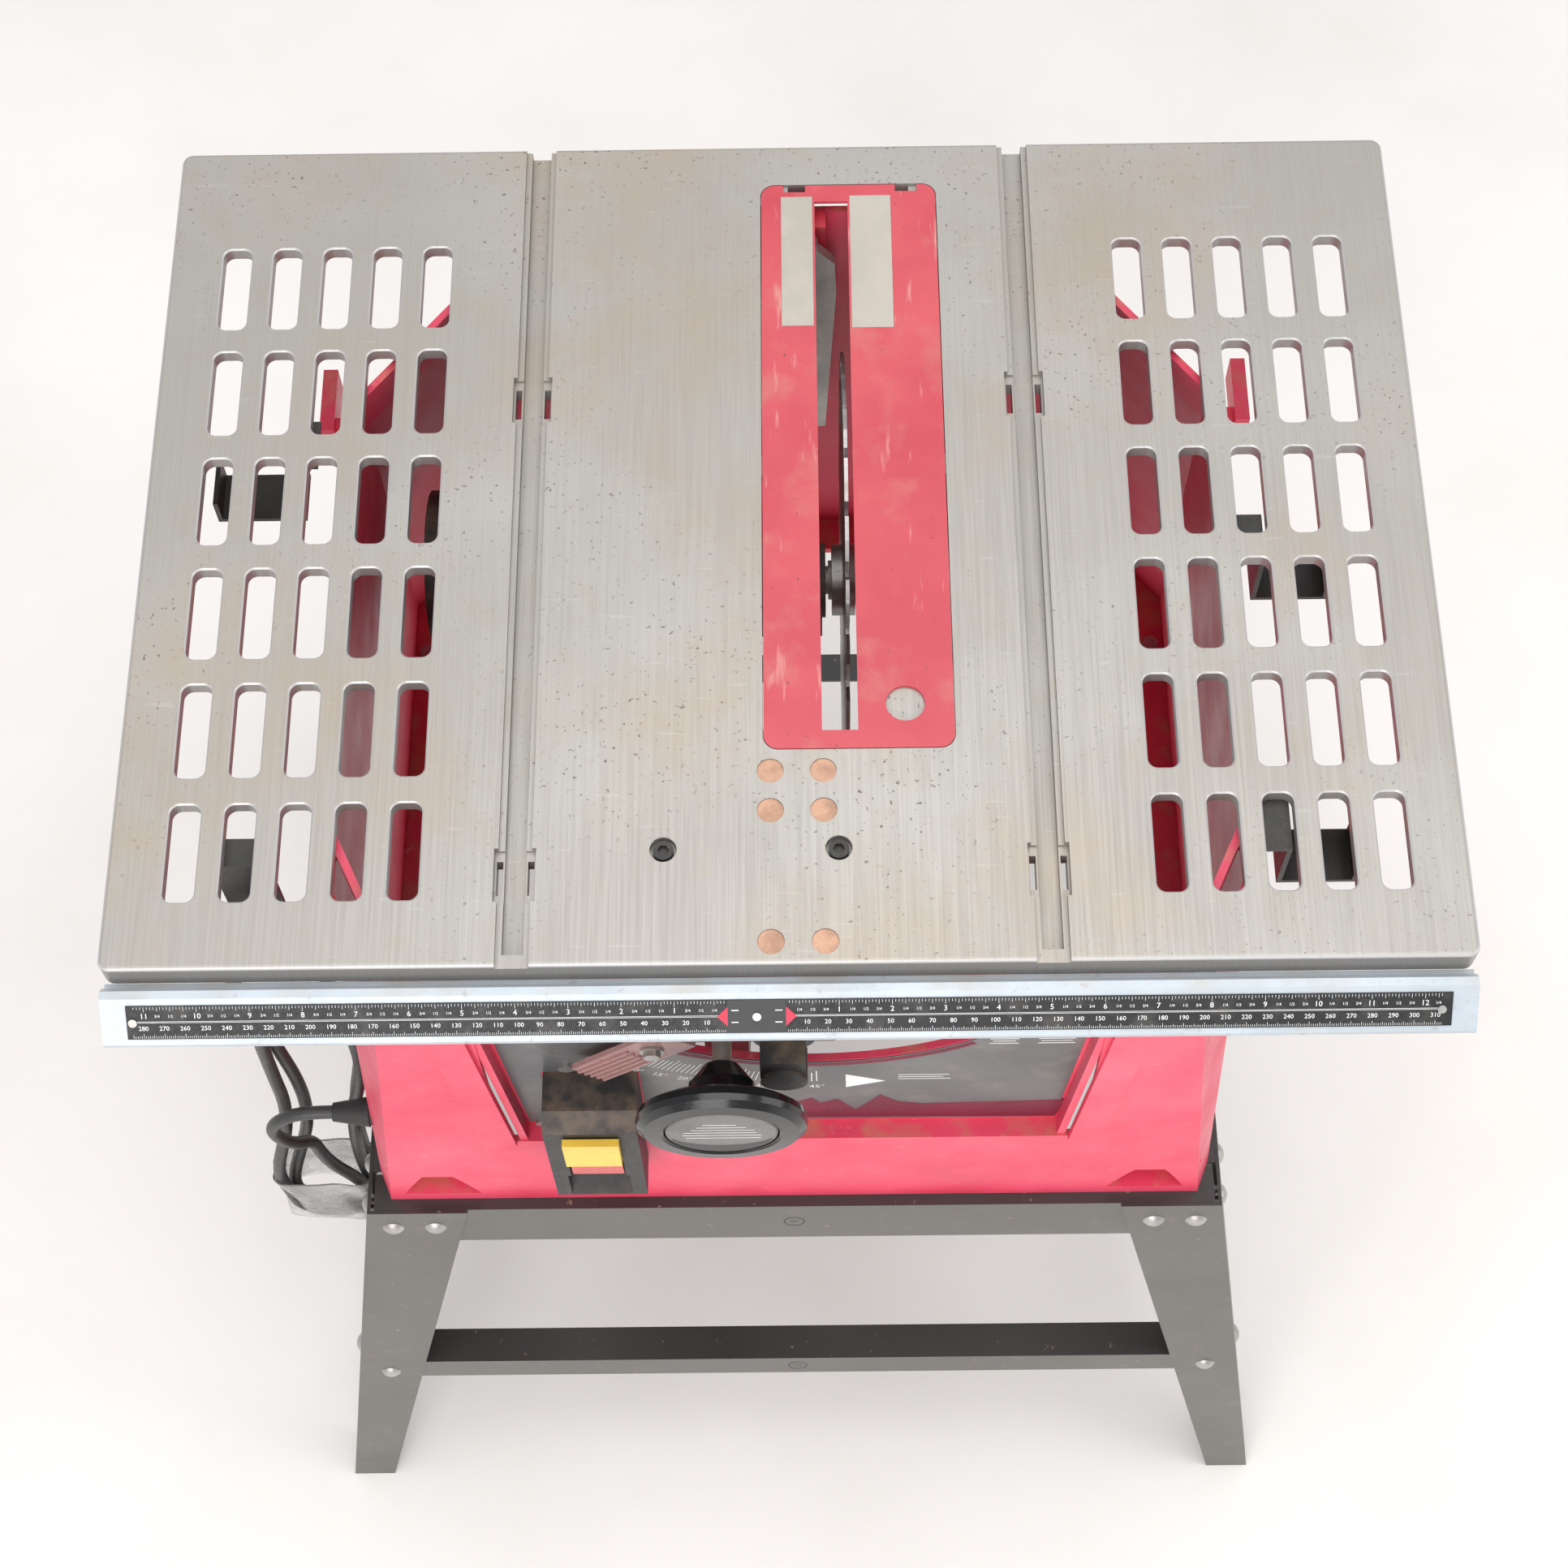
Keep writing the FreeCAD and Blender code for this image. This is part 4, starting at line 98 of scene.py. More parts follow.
class Finish:
    """One node material, built up layer by layer on a principled shader."""

    def __init__(self, name, colour, rough, metal=0.0, coat=0.0, see_through=0.0):
        self.material = bpy.data.materials.new(name)
        self.material.use_nodes = True
        self.tree = self.material.node_tree
        self.tree.nodes.clear()
        output = self.add("ShaderNodeOutputMaterial")
        self.shader = self.add("ShaderNodeBsdfPrincipled")
        self.tree.links.new(self.shader.outputs[0], output.inputs[0])
        self.shader.inputs["Metallic"].default_value = metal
        self.shader.inputs["Coat Weight"].default_value = coat
        self.shader.inputs["Coat Roughness"].default_value = 0.15
        self.shader.inputs["Transmission Weight"].default_value = see_through
        self.shader.inputs["Roughness"].default_value = rough
        self.shader.inputs["Base Color"].default_value = (*colour, 1)
        self.place = self.add("ShaderNodeTexCoord").outputs["Object"]
        self.height = None

    def add(self, kind):
        """A new node of that kind."""
        return self.tree.nodes.new(kind)

    def stretched(self, scale):
        """The object's coordinates scaled differently along each axis."""
        mapping = self.add("ShaderNodeMapping")
        self.tree.links.new(self.place, mapping.inputs["Vector"])
        mapping.inputs["Scale"].default_value = scale
        return mapping.outputs["Vector"]

    def noise(self, scale, detail=4.0, stretch=None, rough=0.55):
        """A noise field; stretch gives its scale along each axis."""
        texture = self.add("ShaderNodeTexNoise")
        texture.inputs["Scale"].default_value = scale
        texture.inputs["Detail"].default_value = detail
        texture.inputs["Roughness"].default_value = rough
        source = self.stretched(stretch) if stretch else self.place
        self.tree.links.new(source, texture.inputs["Vector"])
        return texture.outputs[0]

    def between(self, field, low, high, out_low=0.0, out_high=1.0):
        """The field's stretch from low to high, spread over the output range."""
        node = self.add("ShaderNodeMapRange")
        self.tree.links.new(field, node.inputs["Value"])
        node.inputs["From Min"].default_value = low
        node.inputs["From Max"].default_value = high
        node.inputs["To Min"].default_value = out_low
        node.inputs["To Max"].default_value = out_high
        return node.outputs[0]

    def times(self, first, second):
        """Two fields, or a field and a number, multiplied."""
        node = self.add("ShaderNodeMath")
        node.operation = "MULTIPLY"
        node.use_clamp = True
        for socket, value in zip(node.inputs, (first, second)):
            if isinstance(value, (int, float)):
                socket.default_value = value
            else:
                self.tree.links.new(value, socket)
        return node.outputs[0]

    def facing_up(self, low=0.35, high=0.9):
        """How far the surface faces up, from 0 at low to 1 at high."""
        geometry = self.add("ShaderNodeNewGeometry")
        parts = self.add("ShaderNodeSeparateXYZ")
        self.tree.links.new(geometry.outputs["Normal"], parts.inputs[0])
        return self.between(parts.outputs["Z"], low, high)

    def layer(self, colour, amount):
        """Lays another colour over what is there, by a field."""
        mix = self.add("ShaderNodeMix")
        mix.data_type = "RGBA"
        base = self.shader.inputs["Base Color"]
        if base.is_linked:
            self.tree.links.new(base.links[0].from_socket, mix.inputs["A"])
        else:
            mix.inputs["A"].default_value = base.default_value
        mix.inputs["B"].default_value = (*colour, 1)
        self.tree.links.new(amount, mix.inputs["Factor"])
        self.tree.links.new(mix.outputs["Result"], base)
        return self

    def shine(self, field, low, high):
        """Lets the roughness follow a field."""
        node = self.between(field, 0.25, 0.75, low, high)
        self.tree.links.new(node, self.shader.inputs["Roughness"])

    def bump(self, field, depth):
        """Raises the surface by a field; depth is in metres."""
        node = self.add("ShaderNodeBump")
        node.inputs["Strength"].default_value = 1.0
        node.inputs["Distance"].default_value = depth
        self.tree.links.new(field, node.inputs["Height"])
        if self.height is not None:
            self.tree.links.new(self.height, node.inputs["Normal"])
        self.height = node.outputs[0]
        self.tree.links.new(self.height, self.shader.inputs["Normal"])


def tint(colour, factor):
    """A colour made lighter or darker."""
    return tuple(min(1, part * factor) for part in colour)


def plain_finish(name, colour, rough, metal=0.0, mottle=0.18, coat=0.0, pits=0.00006, size=90):
    """A finish with soft mottling, fine pits and an uneven shine."""
    finish = Finish(name, colour, rough, metal, coat)
    wide = finish.noise(size * 0.35, 3)
    fine = finish.noise(size * 9, 5)
    finish.layer(tint(colour, 1 - mottle), finish.between(wide, 0.42, 0.62))
    finish.layer(tint(colour, 1 + mottle), finish.between(finish.noise(size, 5), 0.5, 0.78, 0, 0.6))
    finish.shine(fine, max(0.05, rough - 0.1), min(1, rough + 0.12))
    finish.bump(fine, pits)
    return finish


SAWDUST = (0.36, 0.22, 0.12)
GRIME = (0.07, 0.055, 0.045)


def dusted(finish, colour=SAWDUST, share=0.75, low=0.45, high=0.62, size=60):
    """Fine dust lying on what faces up."""
    patches = finish.between(finish.noise(size, 6), low, high, 0, share)
    return finish.layer(colour, finish.times(patches, finish.facing_up()))


def cast_table():
    """Ground cast aluminium: fine lines to the back, tan stains, dark specks, painted highlights on the rounded
    rims and painted shade on faces turned down.
    """
    finish = Finish("cast_table", (0.36, 0.34, 0.31), 0.44, 0.35)
    lines = finish.noise(1.0, 2, (900, 14, 40))
    broad = finish.noise(6, 5)
    finish.layer((0.29, 0.27, 0.245), finish.between(lines, 0.35, 0.7, 0, 0.5))
    finish.layer((0.42, 0.405, 0.38), finish.between(broad, 0.45, 0.7, 0, 0.6))
    finish.layer((0.37, 0.29, 0.205), finish.between(finish.noise(4.2, 8, rough=0.7), 0.51, 0.72, 0, 0.7))
    finish.layer((0.36, 0.30, 0.22), finish.between(finish.noise(55, 6), 0.6, 0.75, 0, 0.35))
    specks = finish.between(finish.noise(420, 2), 0.66, 0.71, 0, 0.9)
    finish.layer((0.13, 0.10, 0.08), finish.times(specks, finish.between(broad, 0.42, 0.62)))
    scratches = finish.between(finish.noise(1.0, 2, (34, 300, 26)), 0.70, 0.73, 0, 0.14)
    finish.layer((0.60, 0.58, 0.55), scratches)
    # painted highlight: faces tipped off the level, such as the rounded rims, are lightened
    rim_highlight = finish.facing_up(0.96, 0.80)
    finish.layer((0.60, 0.60, 0.60), finish.times(rim_highlight, 0.6))
    # painted shade: faces turned sideways and down are darkened
    finish.layer((0.20, 0.18, 0.16), finish.facing_up(0.25, -0.1))
    finish.shine(lines, 0.33, 0.52)
    finish.bump(lines, 0.00003)
    return finish


def throat_paint():
    """Red paint worn pink, rubbed lighter near the slot and stained."""
    finish = Finish("insert_red", (0.47, 0.045, 0.065), 0.42)
    broad = finish.noise(12, 6)
    finish.layer((0.56, 0.085, 0.10), finish.between(broad, 0.4, 0.65, 0, 0.8))
    finish.layer((0.50, 0.20, 0.16), finish.between(finish.noise(34, 6), 0.52, 0.75, 0, 0.5))
    rubs = finish.between(finish.noise(1.0, 3, (160, 22, 60)), 0.64, 0.74, 0, 0.5)
    finish.layer((0.66, 0.36, 0.32), rubs)
    finish.layer((0.16, 0.05, 0.04), finish.between(finish.noise(380, 2), 0.71, 0.75, 0, 0.8))
    finish.shine(broad, 0.32, 0.55)
    finish.bump(finish.noise(700, 4), 0.00004)
    return finish


def moulded_red():
    """Bright pink-red plastic, paler where scuffed, with sawdust on its ledges."""
    finish = Finish("red_plastic", (0.74, 0.045, 0.105), 0.40)
    finish.layer((0.82, 0.085, 0.15), finish.between(finish.noise(7, 4), 0.4, 0.65))
    finish.layer((0.60, 0.03, 0.07), finish.between(finish.noise(18, 6), 0.55, 0.75, 0, 0.6))
    finish.layer((0.83, 0.25, 0.27), finish.between(finish.noise(1.0, 3, (90, 90, 320)), 0.66, 0.72, 0, 0.4))
    finish.layer(GRIME, finish.between(finish.noise(300, 3), 0.70, 0.75, 0, 0.7))
    dusted(finish, (0.50, 0.22, 0.12), 0.55, 0.5, 0.66, 45)
    finish.shine(finish.noise(26, 4), 0.30, 0.52)
    finish.bump(finish.noise(900, 3), 0.00004)
    return finish


def rail_paint():
    """Pale blue-grey paint with a dusty channel."""
    finish = plain_finish("rail_paint", (0.47, 0.52, 0.56), 0.36, metal=0.15, mottle=0.10, coat=0.1,
                          pits=0.00003, size=60)
    finish.layer((0.30, 0.27, 0.23), finish.between(finish.noise(160, 5), 0.62, 0.72, 0, 0.5))
    return dusted(finish, (0.40, 0.37, 0.32), 0.6, 0.48, 0.66, 30)


def stand_paint():
    """Black paint: gloss on the flanges that face up, and the upright faces painted a patchy lighter grey as a
    painted reflection.
    """
    finish = Finish("stand_paint", (0.030, 0.029, 0.027), 0.34, 0.0, 0.15)
    cloud = finish.noise(9, 5)
    # painted reflection: upright faces lightened to grey, with paler patches on them
    upright = finish.facing_up(0.75, 0.45)
    finish.layer((0.088, 0.081, 0.071), finish.times(upright, finish.between(cloud, 0.2, 0.5, 0.82, 1.0)))
    upright_sheen_patches = finish.between(finish.noise(70, 6), 0.58, 0.75, 0, 0.5)
    finish.layer((0.15, 0.13, 0.105), finish.times(upright, upright_sheen_patches))
    finish.layer((0.35, 0.27, 0.18), finish.between(finish.noise(210, 4), 0.68, 0.74, 0, 0.55))
    finish.shine(cloud, 0.22, 0.46)
    finish.bump(finish.noise(500, 4), 0.00003)
    return finish


def label_sheet():
    """Dark grey printed sheet, hazed with dust and rubbed pale at its middle."""
    finish = Finish("label_grey", (0.085, 0.085, 0.088), 0.34)
    finish.layer((0.16, 0.155, 0.15), finish.between(finish.noise(9, 6), 0.42, 0.66, 0, 0.8))
    finish.layer((0.25, 0.21, 0.17), finish.between(finish.noise(40, 7), 0.55, 0.74, 0, 0.5))
    finish.shine(finish.noise(14, 4), 0.25, 0.5)
    finish.bump(finish.noise(200, 3), 0.00003)
    return finish


def blade_finish():
    """Ground blade steel with circular marks and resin stains."""
    finish = Finish("blade_steel", (0.34, 0.33, 0.32), 0.34, 0.85)
    finish.layer((0.18, 0.13, 0.09), finish.between(finish.noise(38, 6), 0.5, 0.7, 0, 0.8))
    lines = finish.noise(1.0, 2, (60, 900, 900))
    finish.layer((0.46, 0.45, 0.44), finish.between(lines, 0.6, 0.75, 0, 0.4))
    finish.shine(lines, 0.25, 0.5)
    finish.bump(lines, 0.00002)
    return finish


def clear_finish(name, colour, rough, see_through, creases):
    """Clear plastic, hazed and dusty; creases is how deep it is crumpled, in metres."""
    finish = Finish(name, colour, rough, 0.0, 0.0, see_through)
    haze = finish.noise(90, 5)
    finish.layer(tint(colour, 0.75), finish.between(haze, 0.5, 0.72, 0, 0.6))
    finish.shine(haze, rough, rough + 0.25)
    finish.bump(finish.noise(160, 4), creases)
    return finish


FINISHES = {
    "cast_table": cast_table(),
    "rail_paint": rail_paint(),
    "scale_black": dusted(plain_finish("scale_black", (0.008, 0.008, 0.009), 0.5, mottle=0.3,
                                       pits=0.00002, size=60),
                          (0.10, 0.09, 0.08), share=0.6, low=0.5, high=0.7, size=70),
    "zinc": dusted(plain_finish("zinc", (0.46, 0.45, 0.43), 0.38, metal=0.75, mottle=0.2),
                   (0.27, 0.19, 0.12), share=0.5),
    "insert_red": throat_paint(),
    "bare_steel": plain_finish("bare_steel", (0.47, 0.43, 0.37), 0.46, metal=0.35, mottle=0.10,
                               pits=0.00003, size=50),
    "copper": plain_finish("copper", (0.52, 0.31, 0.21), 0.5, metal=0.55, mottle=0.28, pits=0.00012, size=160),
    "black_steel": plain_finish("black_steel", (0.035, 0.033, 0.03), 0.42, metal=0.2, mottle=0.35),
    "red_paint": plain_finish("red_paint", (0.50, 0.03, 0.05), 0.35, mottle=0.2, coat=0.2),
    "red_plastic": moulded_red(),
    "label_grey": label_sheet(),
    "black_plastic": dusted(plain_finish("black_plastic", (0.026, 0.025, 0.024), 0.5, mottle=0.35, pits=0.0001),
                            (0.19, 0.13, 0.085), share=0.62, low=0.42, high=0.62, size=55),
    "black_gloss": plain_finish("black_gloss", (0.008, 0.008, 0.009), 0.16, mottle=0.3, pits=0.00001),
    "black_rubber": plain_finish("black_rubber", (0.028, 0.027, 0.026), 0.62, mottle=0.3),
    "cord_rubber": plain_finish("cord_rubber", (0.045, 0.044, 0.043), 0.46, mottle=0.35, coat=0.1,
                                pits=0.00005, size=70),
    "clear_plastic": clear_finish("clear_plastic", (0.93, 0.93, 0.92), 0.12, 0.95, creases=0.0004),
    "clear_pointer": clear_finish("clear_pointer", (0.72, 0.44, 0.42), 0.22, 0.55, creases=0.00005),
    "stand_paint": stand_paint(),
    "cast_inner": dusted(plain_finish("cast_inner", (0.16, 0.15, 0.14), 0.6, metal=0.4, mottle=0.3,
                                      pits=0.00025),
                         share=0.7),
    "bronze": plain_finish("bronze", (0.42, 0.28, 0.12), 0.38, metal=0.85, mottle=0.2),
    "blade_steel": blade_finish(),
    "switch_red": plain_finish("switch_red", (0.62, 0.025, 0.02), 0.30, mottle=0.15, coat=0.25, pits=0.00002),
    "key_yellow": plain_finish("key_yellow", (0.86, 0.55, 0.06), 0.34, mottle=0.12, coat=0.15, pits=0.00002),
}


def dress_nodes():
    """Gives each node of the frame the finish of its material slot."""
    for part in frame["record"]["subparts"]:
        mesh = nodes[part["node"]].data
        mesh.materials.clear()
        mesh.materials.append(FINISHES[part["material_slot"]].material)


dress_nodes()


def dress(piece, finish, body):
    """Gives a new piece its finish and the body that it moves with."""
    piece.data.materials.append(finish.material)
    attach(piece, body)
    return piece


# ---------------------------------------------------------------- cord, its film tie and its plug

CORD_DIAMETER = 7.8
FOLD = 24.5
LAYERS = {"front": -188.5, "middle": -180.0, "back": -171.5}


def fold(x, z, layer, first, last, count=13):
    """Points on one turn of the cord round x, z, in one layer of the hank."""
    points = []
    for index in range(count):
        angle = math.radians(first + (last - first) * index / (count - 1))
        points.append((x + FOLD * math.cos(angle), LAYERS[layer], z + FOLD * math.sin(angle)))
    return points


def strand(*spots):
    """Points along one straight run: x, depth and height."""
    return [(x, LAYERS.get(depth, depth), z) for x, depth, z in spots]


def cord_line():
    """The lead's whole line: out of the gland, down into the tie, round two loops and down to the plug."""
    line = strand((-262, -199, 535), (-279, -199, 535), (-294, -200, 526), (-302, -200, 510),
                  (-301, -199, 491), (-295, -196, 470), (-288, -187, 451))
    line += strand((-286, "front", 430), (-282, "front", 408), (-273, "front", 385), (-268, "front", 365))
    line += fold(-292, 342, "front", 0, -180)
    line += strand((-317.5, "front", 362), (-319, "front", 385), (-315, "front", 412), (-308, -187, 440),
                   (-301, -184, 468), (-297, "middle", 500), (-296, "middle", 540), (-294, "middle", 590),
                   (-292, "middle", 650), (-291.5, "middle", 700))
    line += fold(-267, 731, "middle", 180, 0)
    line += strand((-242.5, "middle", 700), (-242, "middle", 650), (-241.5, "middle", 600),
                   (-243, "middle", 565), (-249, "middle", 530), (-257, "middle", 495), (-264, "middle", 450),
                   (-267.5, "middle", 405), (-268, "middle", 370))
    line += fold(-292, 340, "middle", 0, -180)
    line += strand((-315, "middle", 360), (-309, -178, 385), (-301, -174, 412), (-294, "back", 440),
                   (-289, "back", 480), (-288, "back", 520), (-290, "back", 560))
    line += fold(-267, 590, "back", 180, 0)
    line += strand((-244, "back", 560), (-250, "back", 528), (-257, "back", 492), (-263, "back", 450),
                   (-266.5, "back", 405), (-267, -172.5, 360), (-266, -174.5, 330), (-266, -174.5, 310))
    return line


def lay_cord():
    """The rubber lead as one smooth curve."""
    curve = bpy.data.curves.new("power_lead", "CURVE")
    curve.dimensions = "3D"
    curve.bevel_depth = CORD_DIAMETER / 2 * MM
    curve.bevel_resolution = 6
    curve.resolution_u = 8
    curve.use_fill_caps = True
    line = cord_line()
    spline = curve.splines.new("NURBS")
    spline.points.add(len(line) - 1)
    for point, spot in zip(spline.points, line):
        point.co = (*(Vector(spot) * MM), 1)
    spline.order_u = 3
    spline.use_endpoint_u = True
    lead = bpy.data.objects.new("power_lead", curve)
    scene.collection.objects.link(lead)
    return dress(lead, FINISHES["cord_rubber"], "base")


def mesh_piece(name, corners, faces, smooth=False):
    """A new mesh object from corners in metres."""
    mesh = bpy.data.meshes.new(name)
    mesh.from_pydata([tuple(corner) for corner in corners], [], faces)
    mesh.update()
    if smooth:
        mesh.polygons.foreach_set("use_smooth", [True] * len(mesh.polygons))
    piece = bpy.data.objects.new(name, mesh)
    scene.collection.objects.link(piece)
    return piece


TIE_X, TIE_DEPTH = -291, -179.5
TIE_LOW, TIE_TALL = 316, 70
TIE_HALF_WIDE, TIE_HALF_DEEP = 33.0, 15.0
TIE_WAIST = 0.045
FILM_THICK = 0.12


def wrap_tie():
    """Crumpled clear film round the lower end of the hank."""
    rings, around = 22, 72
    shake = random.Random(5)
    creases = [(shake.uniform(0, 6.28), shake.randint(3, 11), shake.uniform(0.4, 1.3)) for _ in range(7)]
    corners = []
    for ring in range(rings):
        share = ring / (rings - 1)
        waist = 1 - TIE_WAIST * math.sin(math.pi * share)
        for step in range(around):
            angle = 2 * math.pi * step / around
            ripple = sum(size * math.sin(count * angle + phase + 5 * share) for phase, count, size in creases)
            squared = (abs(math.cos(angle)) ** 4 + abs(math.sin(angle)) ** 4) ** -0.25
            wide = (TIE_HALF_WIDE * waist + 0.30 * ripple) * squared * math.cos(angle)
            deep = (TIE_HALF_DEEP * waist + 0.35 * ripple) * squared * math.sin(angle)
            corners.append(Vector((TIE_X + wide, TIE_DEPTH + deep, TIE_LOW + TIE_TALL * share)) * MM)
    faces = [(ring * around + step, ring * around + (step + 1) % around,
              (ring + 1) * around + (step + 1) % around, (ring + 1) * around + step)
             for ring in range(rings - 1) for step in range(around)]
    film = mesh_piece("lead_tie", corners, faces, True)
    thick = film.modifiers.new("film", "SOLIDIFY")
    thick.thickness = FILM_THICK * MM
    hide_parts("cord_tie")
    return dress(film, FINISHES["clear_plastic"], "base")


lead = lay_cord()
tie = wrap_tie()
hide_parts("power_cord", "cord_hank")


# ---------------------------------------------------------------- printed marks
# A print's lift is how far it stands off its face, in millimetres; where prints meet, more lift is on top.

WHITE_INK = plain_finish("white_ink", (0.80, 0.80, 0.78), 0.5, mottle=0.12, pits=0.00001, size=200)
RED_INK = plain_finish("red_ink", (0.70, 0.03, 0.07), 0.5, mottle=0.15, pits=0.00001, size=200)
BLOCK_INK = plain_finish("block_ink", (0.010, 0.010, 0.011), 0.35, mottle=0.2, pits=0.00001, size=200)
MAROON_INK = dusted(plain_finish("maroon_ink", (0.17, 0.004, 0.028), 0.6, mottle=0.2, pits=0.00002, size=60),
                    share=0.4)


class Print:
    """Flat marks on one plane, gathered into one mesh: right and up are the plane's own directions."""

    def __init__(self, origin, right, up, lift):
        self.origin = origin
        self.right = right
        self.up = up
        self.out = right.cross(up)
        self.lift = lift
        self.corners = []
        self.faces = []

    def spot(self, across, along):
        """A point of the plane, in millimetres from its origin."""
        self.corners.append(self.origin + (self.right * across + self.up * along + self.out * self.lift) * MM)
        return len(self.corners) - 1

    def outline(self, *points):
        """A filled outline."""
        self.faces.append([self.spot(*point) for point in points])

    def bar(self, across, along, wide, tall):
        """A filled rectangle about its middle."""
        left, right = across - wide / 2, across + wide / 2
        low, high = along - tall / 2, along + tall / 2
        self.outline((left, low), (right, low), (right, high), (left, high))

    def figure(self, text, across, along, size, turn=0.0):
        """Figures centred on a point."""
        curve = bpy.data.curves.new("figure", "FONT")
        curve.body = text
        curve.size = size
        curve.align_x = "CENTER"
        curve.align_y = "CENTER"
        curve.resolution_u = 2
        writing = bpy.data.objects.new("figure", curve)
        scene.collection.objects.link(writing)
        bpy.context.view_layer.update()
        flat = bpy.data.meshes.new_from_object(writing)
        start = len(self.corners)
        cosine, sine = math.cos(turn), math.sin(turn)
        for vertex in flat.vertices:
            x, y = vertex.co.x, vertex.co.y
            self.spot(across + x * cosine - y * sine, along + x * sine + y * cosine)
        self.faces += [[start + index for index in polygon.vertices] for polygon in flat.polygons]
        bpy.data.objects.remove(writing)
        bpy.data.meshes.remove(flat)

    def finish(self, name, ink, slot, body="base"):
        """The marks as one piece."""
        dress(mesh_piece(name, self.corners, self.faces), ink, body)


LEFT_ZERO, RIGHT_ZERO = -29.0, -1.0
RULE_MIDDLE = at(0, -20.33, -17.18)
RULE_SLOPE = math.radians(45.5)
RULE_UP = Vector((0, math.cos(RULE_SLOPE), math.sin(RULE_SLOPE)))
RULE_HALF = 8.7
RULE_MARGIN = 0.5
RULE_END = 314
TICK_WIDE = 0.18
INCH = 25.4
TICKS_AN_INCH = 16
TICKS_A_QUARTER = TICKS_AN_INCH // 4
INCH_ROW, MILLIMETRE_ROW = 3.3, -3.1


def rule_print(lift):
    """A print on the rule's face."""
    return Print(RULE_MIDDLE, Vector((1, 0, 0)), RULE_UP, lift)


def inch_side(marks, zero, way, reach):
    """Sixteenths of an inch outwards from a zero, with figures at the quarters and the whole inches."""
    for step in range(1, int(reach / INCH * TICKS_AN_INCH) + 1):
        across = zero + way * step * INCH / TICKS_AN_INCH
        inches, ticks = divmod(step, TICKS_AN_INCH)
        quarters, rest = divmod(ticks, TICKS_A_QUARTER)
        tall = 2.6 if ticks == 0 else 2.1 if rest == 0 else 1.3
        marks.bar(across, RULE_HALF - RULE_MARGIN - tall / 2, TICK_WIDE, tall)
        if ticks == 0:
            marks.figure(str(inches), across, INCH_ROW, 4.0)
        elif rest == 0:
            marks.figure(("1/4", "1/2", "3/4")[quarters - 1], across, INCH_ROW, 2.1)


def millimetre_side(marks, zero, way, reach):
    """Millimetres outwards from a zero, with figures at every tenth."""
    for step in range(1, int(reach) + 1):
        across = zero + way * step
        tall = 2.3 if step % 10 == 0 else 1.8 if step % 5 == 0 else 1.2
        marks.bar(across, -RULE_HALF + RULE_MARGIN + tall / 2, TICK_WIDE, tall)
        if step % 10 == 0:
            marks.figure(str(step), across, MILLIMETRE_ROW, 3.3)


def rule_marks():
    """Ticks and figures to the left and right of the two zeros: inches above, millimetres below."""
    marks = rule_print(0.05)
    for zero, way in ((LEFT_ZERO, -1), (RIGHT_ZERO, 1)):
        reach = RULE_END - abs(zero)
        inch_side(marks, zero, way, reach)
        millimetre_side(marks, zero, way, reach)
        middle = zero + way * (reach / 2 + 2)
        for line in (0.55, -0.05):
            marks.bar(middle, line, reach - 4, 0.2)
    marks.finish("rule_marks", WHITE_INK, "scale_black")


def rule_centre():
    """The plain block between the zeros, a red triangle beside each and short lines for its wording."""
    centre = (LEFT_ZERO + RIGHT_ZERO) / 2
    block = rule_print(0.04)
    block.bar(centre, 0, RIGHT_ZERO - LEFT_ZERO, 2 * RULE_HALF - 0.2)
    block.finish("rule_centre", BLOCK_INK, "scale_black")
    arrows = rule_print(0.07)
    arrows.outline((LEFT_ZERO, -5), (LEFT_ZERO, 5), (LEFT_ZERO - 5, 0))
    arrows.outline((RIGHT_ZERO, 5), (RIGHT_ZERO, -5), (RIGHT_ZERO + 5, 0))
    arrows.finish("rule_arrows", RED_INK, "scale_black")
    lines = rule_print(0.06)
    for side in (-1, 1):
        for row in (3.2, -3.0):
            lines.bar(centre + side * 10.5, row, 3.4, 0.5)
    lines.finish("rule_centre_lines", WHITE_INK, "scale_black")


PIVOT_X, PIVOT_Z = 11, -20
LABEL_FACE = 4.4
ZERO_ANGLE = -44
SCALE_INNER_FIVES, SCALE_INNER, SCALE_OUTER = 142, 145, 158
SCALE_FIGURES = 166
LIP_INNER, LIP_OUTER = 130, 134.5
LIP_STEP = 1.9


def label_print(lift):
    """A print on the front label, measured from the tilt axis."""
    return Print(at(PIVOT_X, LABEL_FACE, PIVOT_Z), Vector((1, 0, 0)), Vector((0, 0, 1)), lift)


def on_arc(radius, degrees):
    """A point at a tilt reading on the bevel scale."""
    angle = math.radians(ZERO_ANGLE + degrees)
    return radius * math.sin(angle), -radius * math.cos(angle)


def bevel_marks():
    """The bevel scale's ticks and figures, the arrow beside it and rows of plain lines for its wording."""
    marks = label_print(0.06)
    for degree in range(46):
        inner = SCALE_INNER_FIVES if degree % 5 == 0 else SCALE_INNER
        marks.outline(on_arc(inner, degree - 0.12), on_arc(SCALE_OUTER, degree - 0.1),
                      on_arc(SCALE_OUTER, degree + 0.1), on_arc(inner, degree + 0.12))
        if degree % 5 == 0:
            across, along = on_arc(SCALE_FIGURES, degree)
            marks.figure("%d°" % degree, across, along, 6.2, math.radians(ZERO_ANGLE + degree))
    marks.outline((18.4, -167.6), (39.4, -158.4), (18.0, -147.6))
    for row, wide in enumerate((27, 24, 28)):
        marks.bar(46 + wide / 2, -149.2 - row * 3.1, wide, 0.9)
    for column, width in ((92, 15), (117, 19)):
        for row in range(3):
            marks.bar(column + width / 2, -97 - row * 3.2, width - row % 2 * 3, 1.0)
    marks.finish("bevel_marks", WHITE_INK, "label_grey")


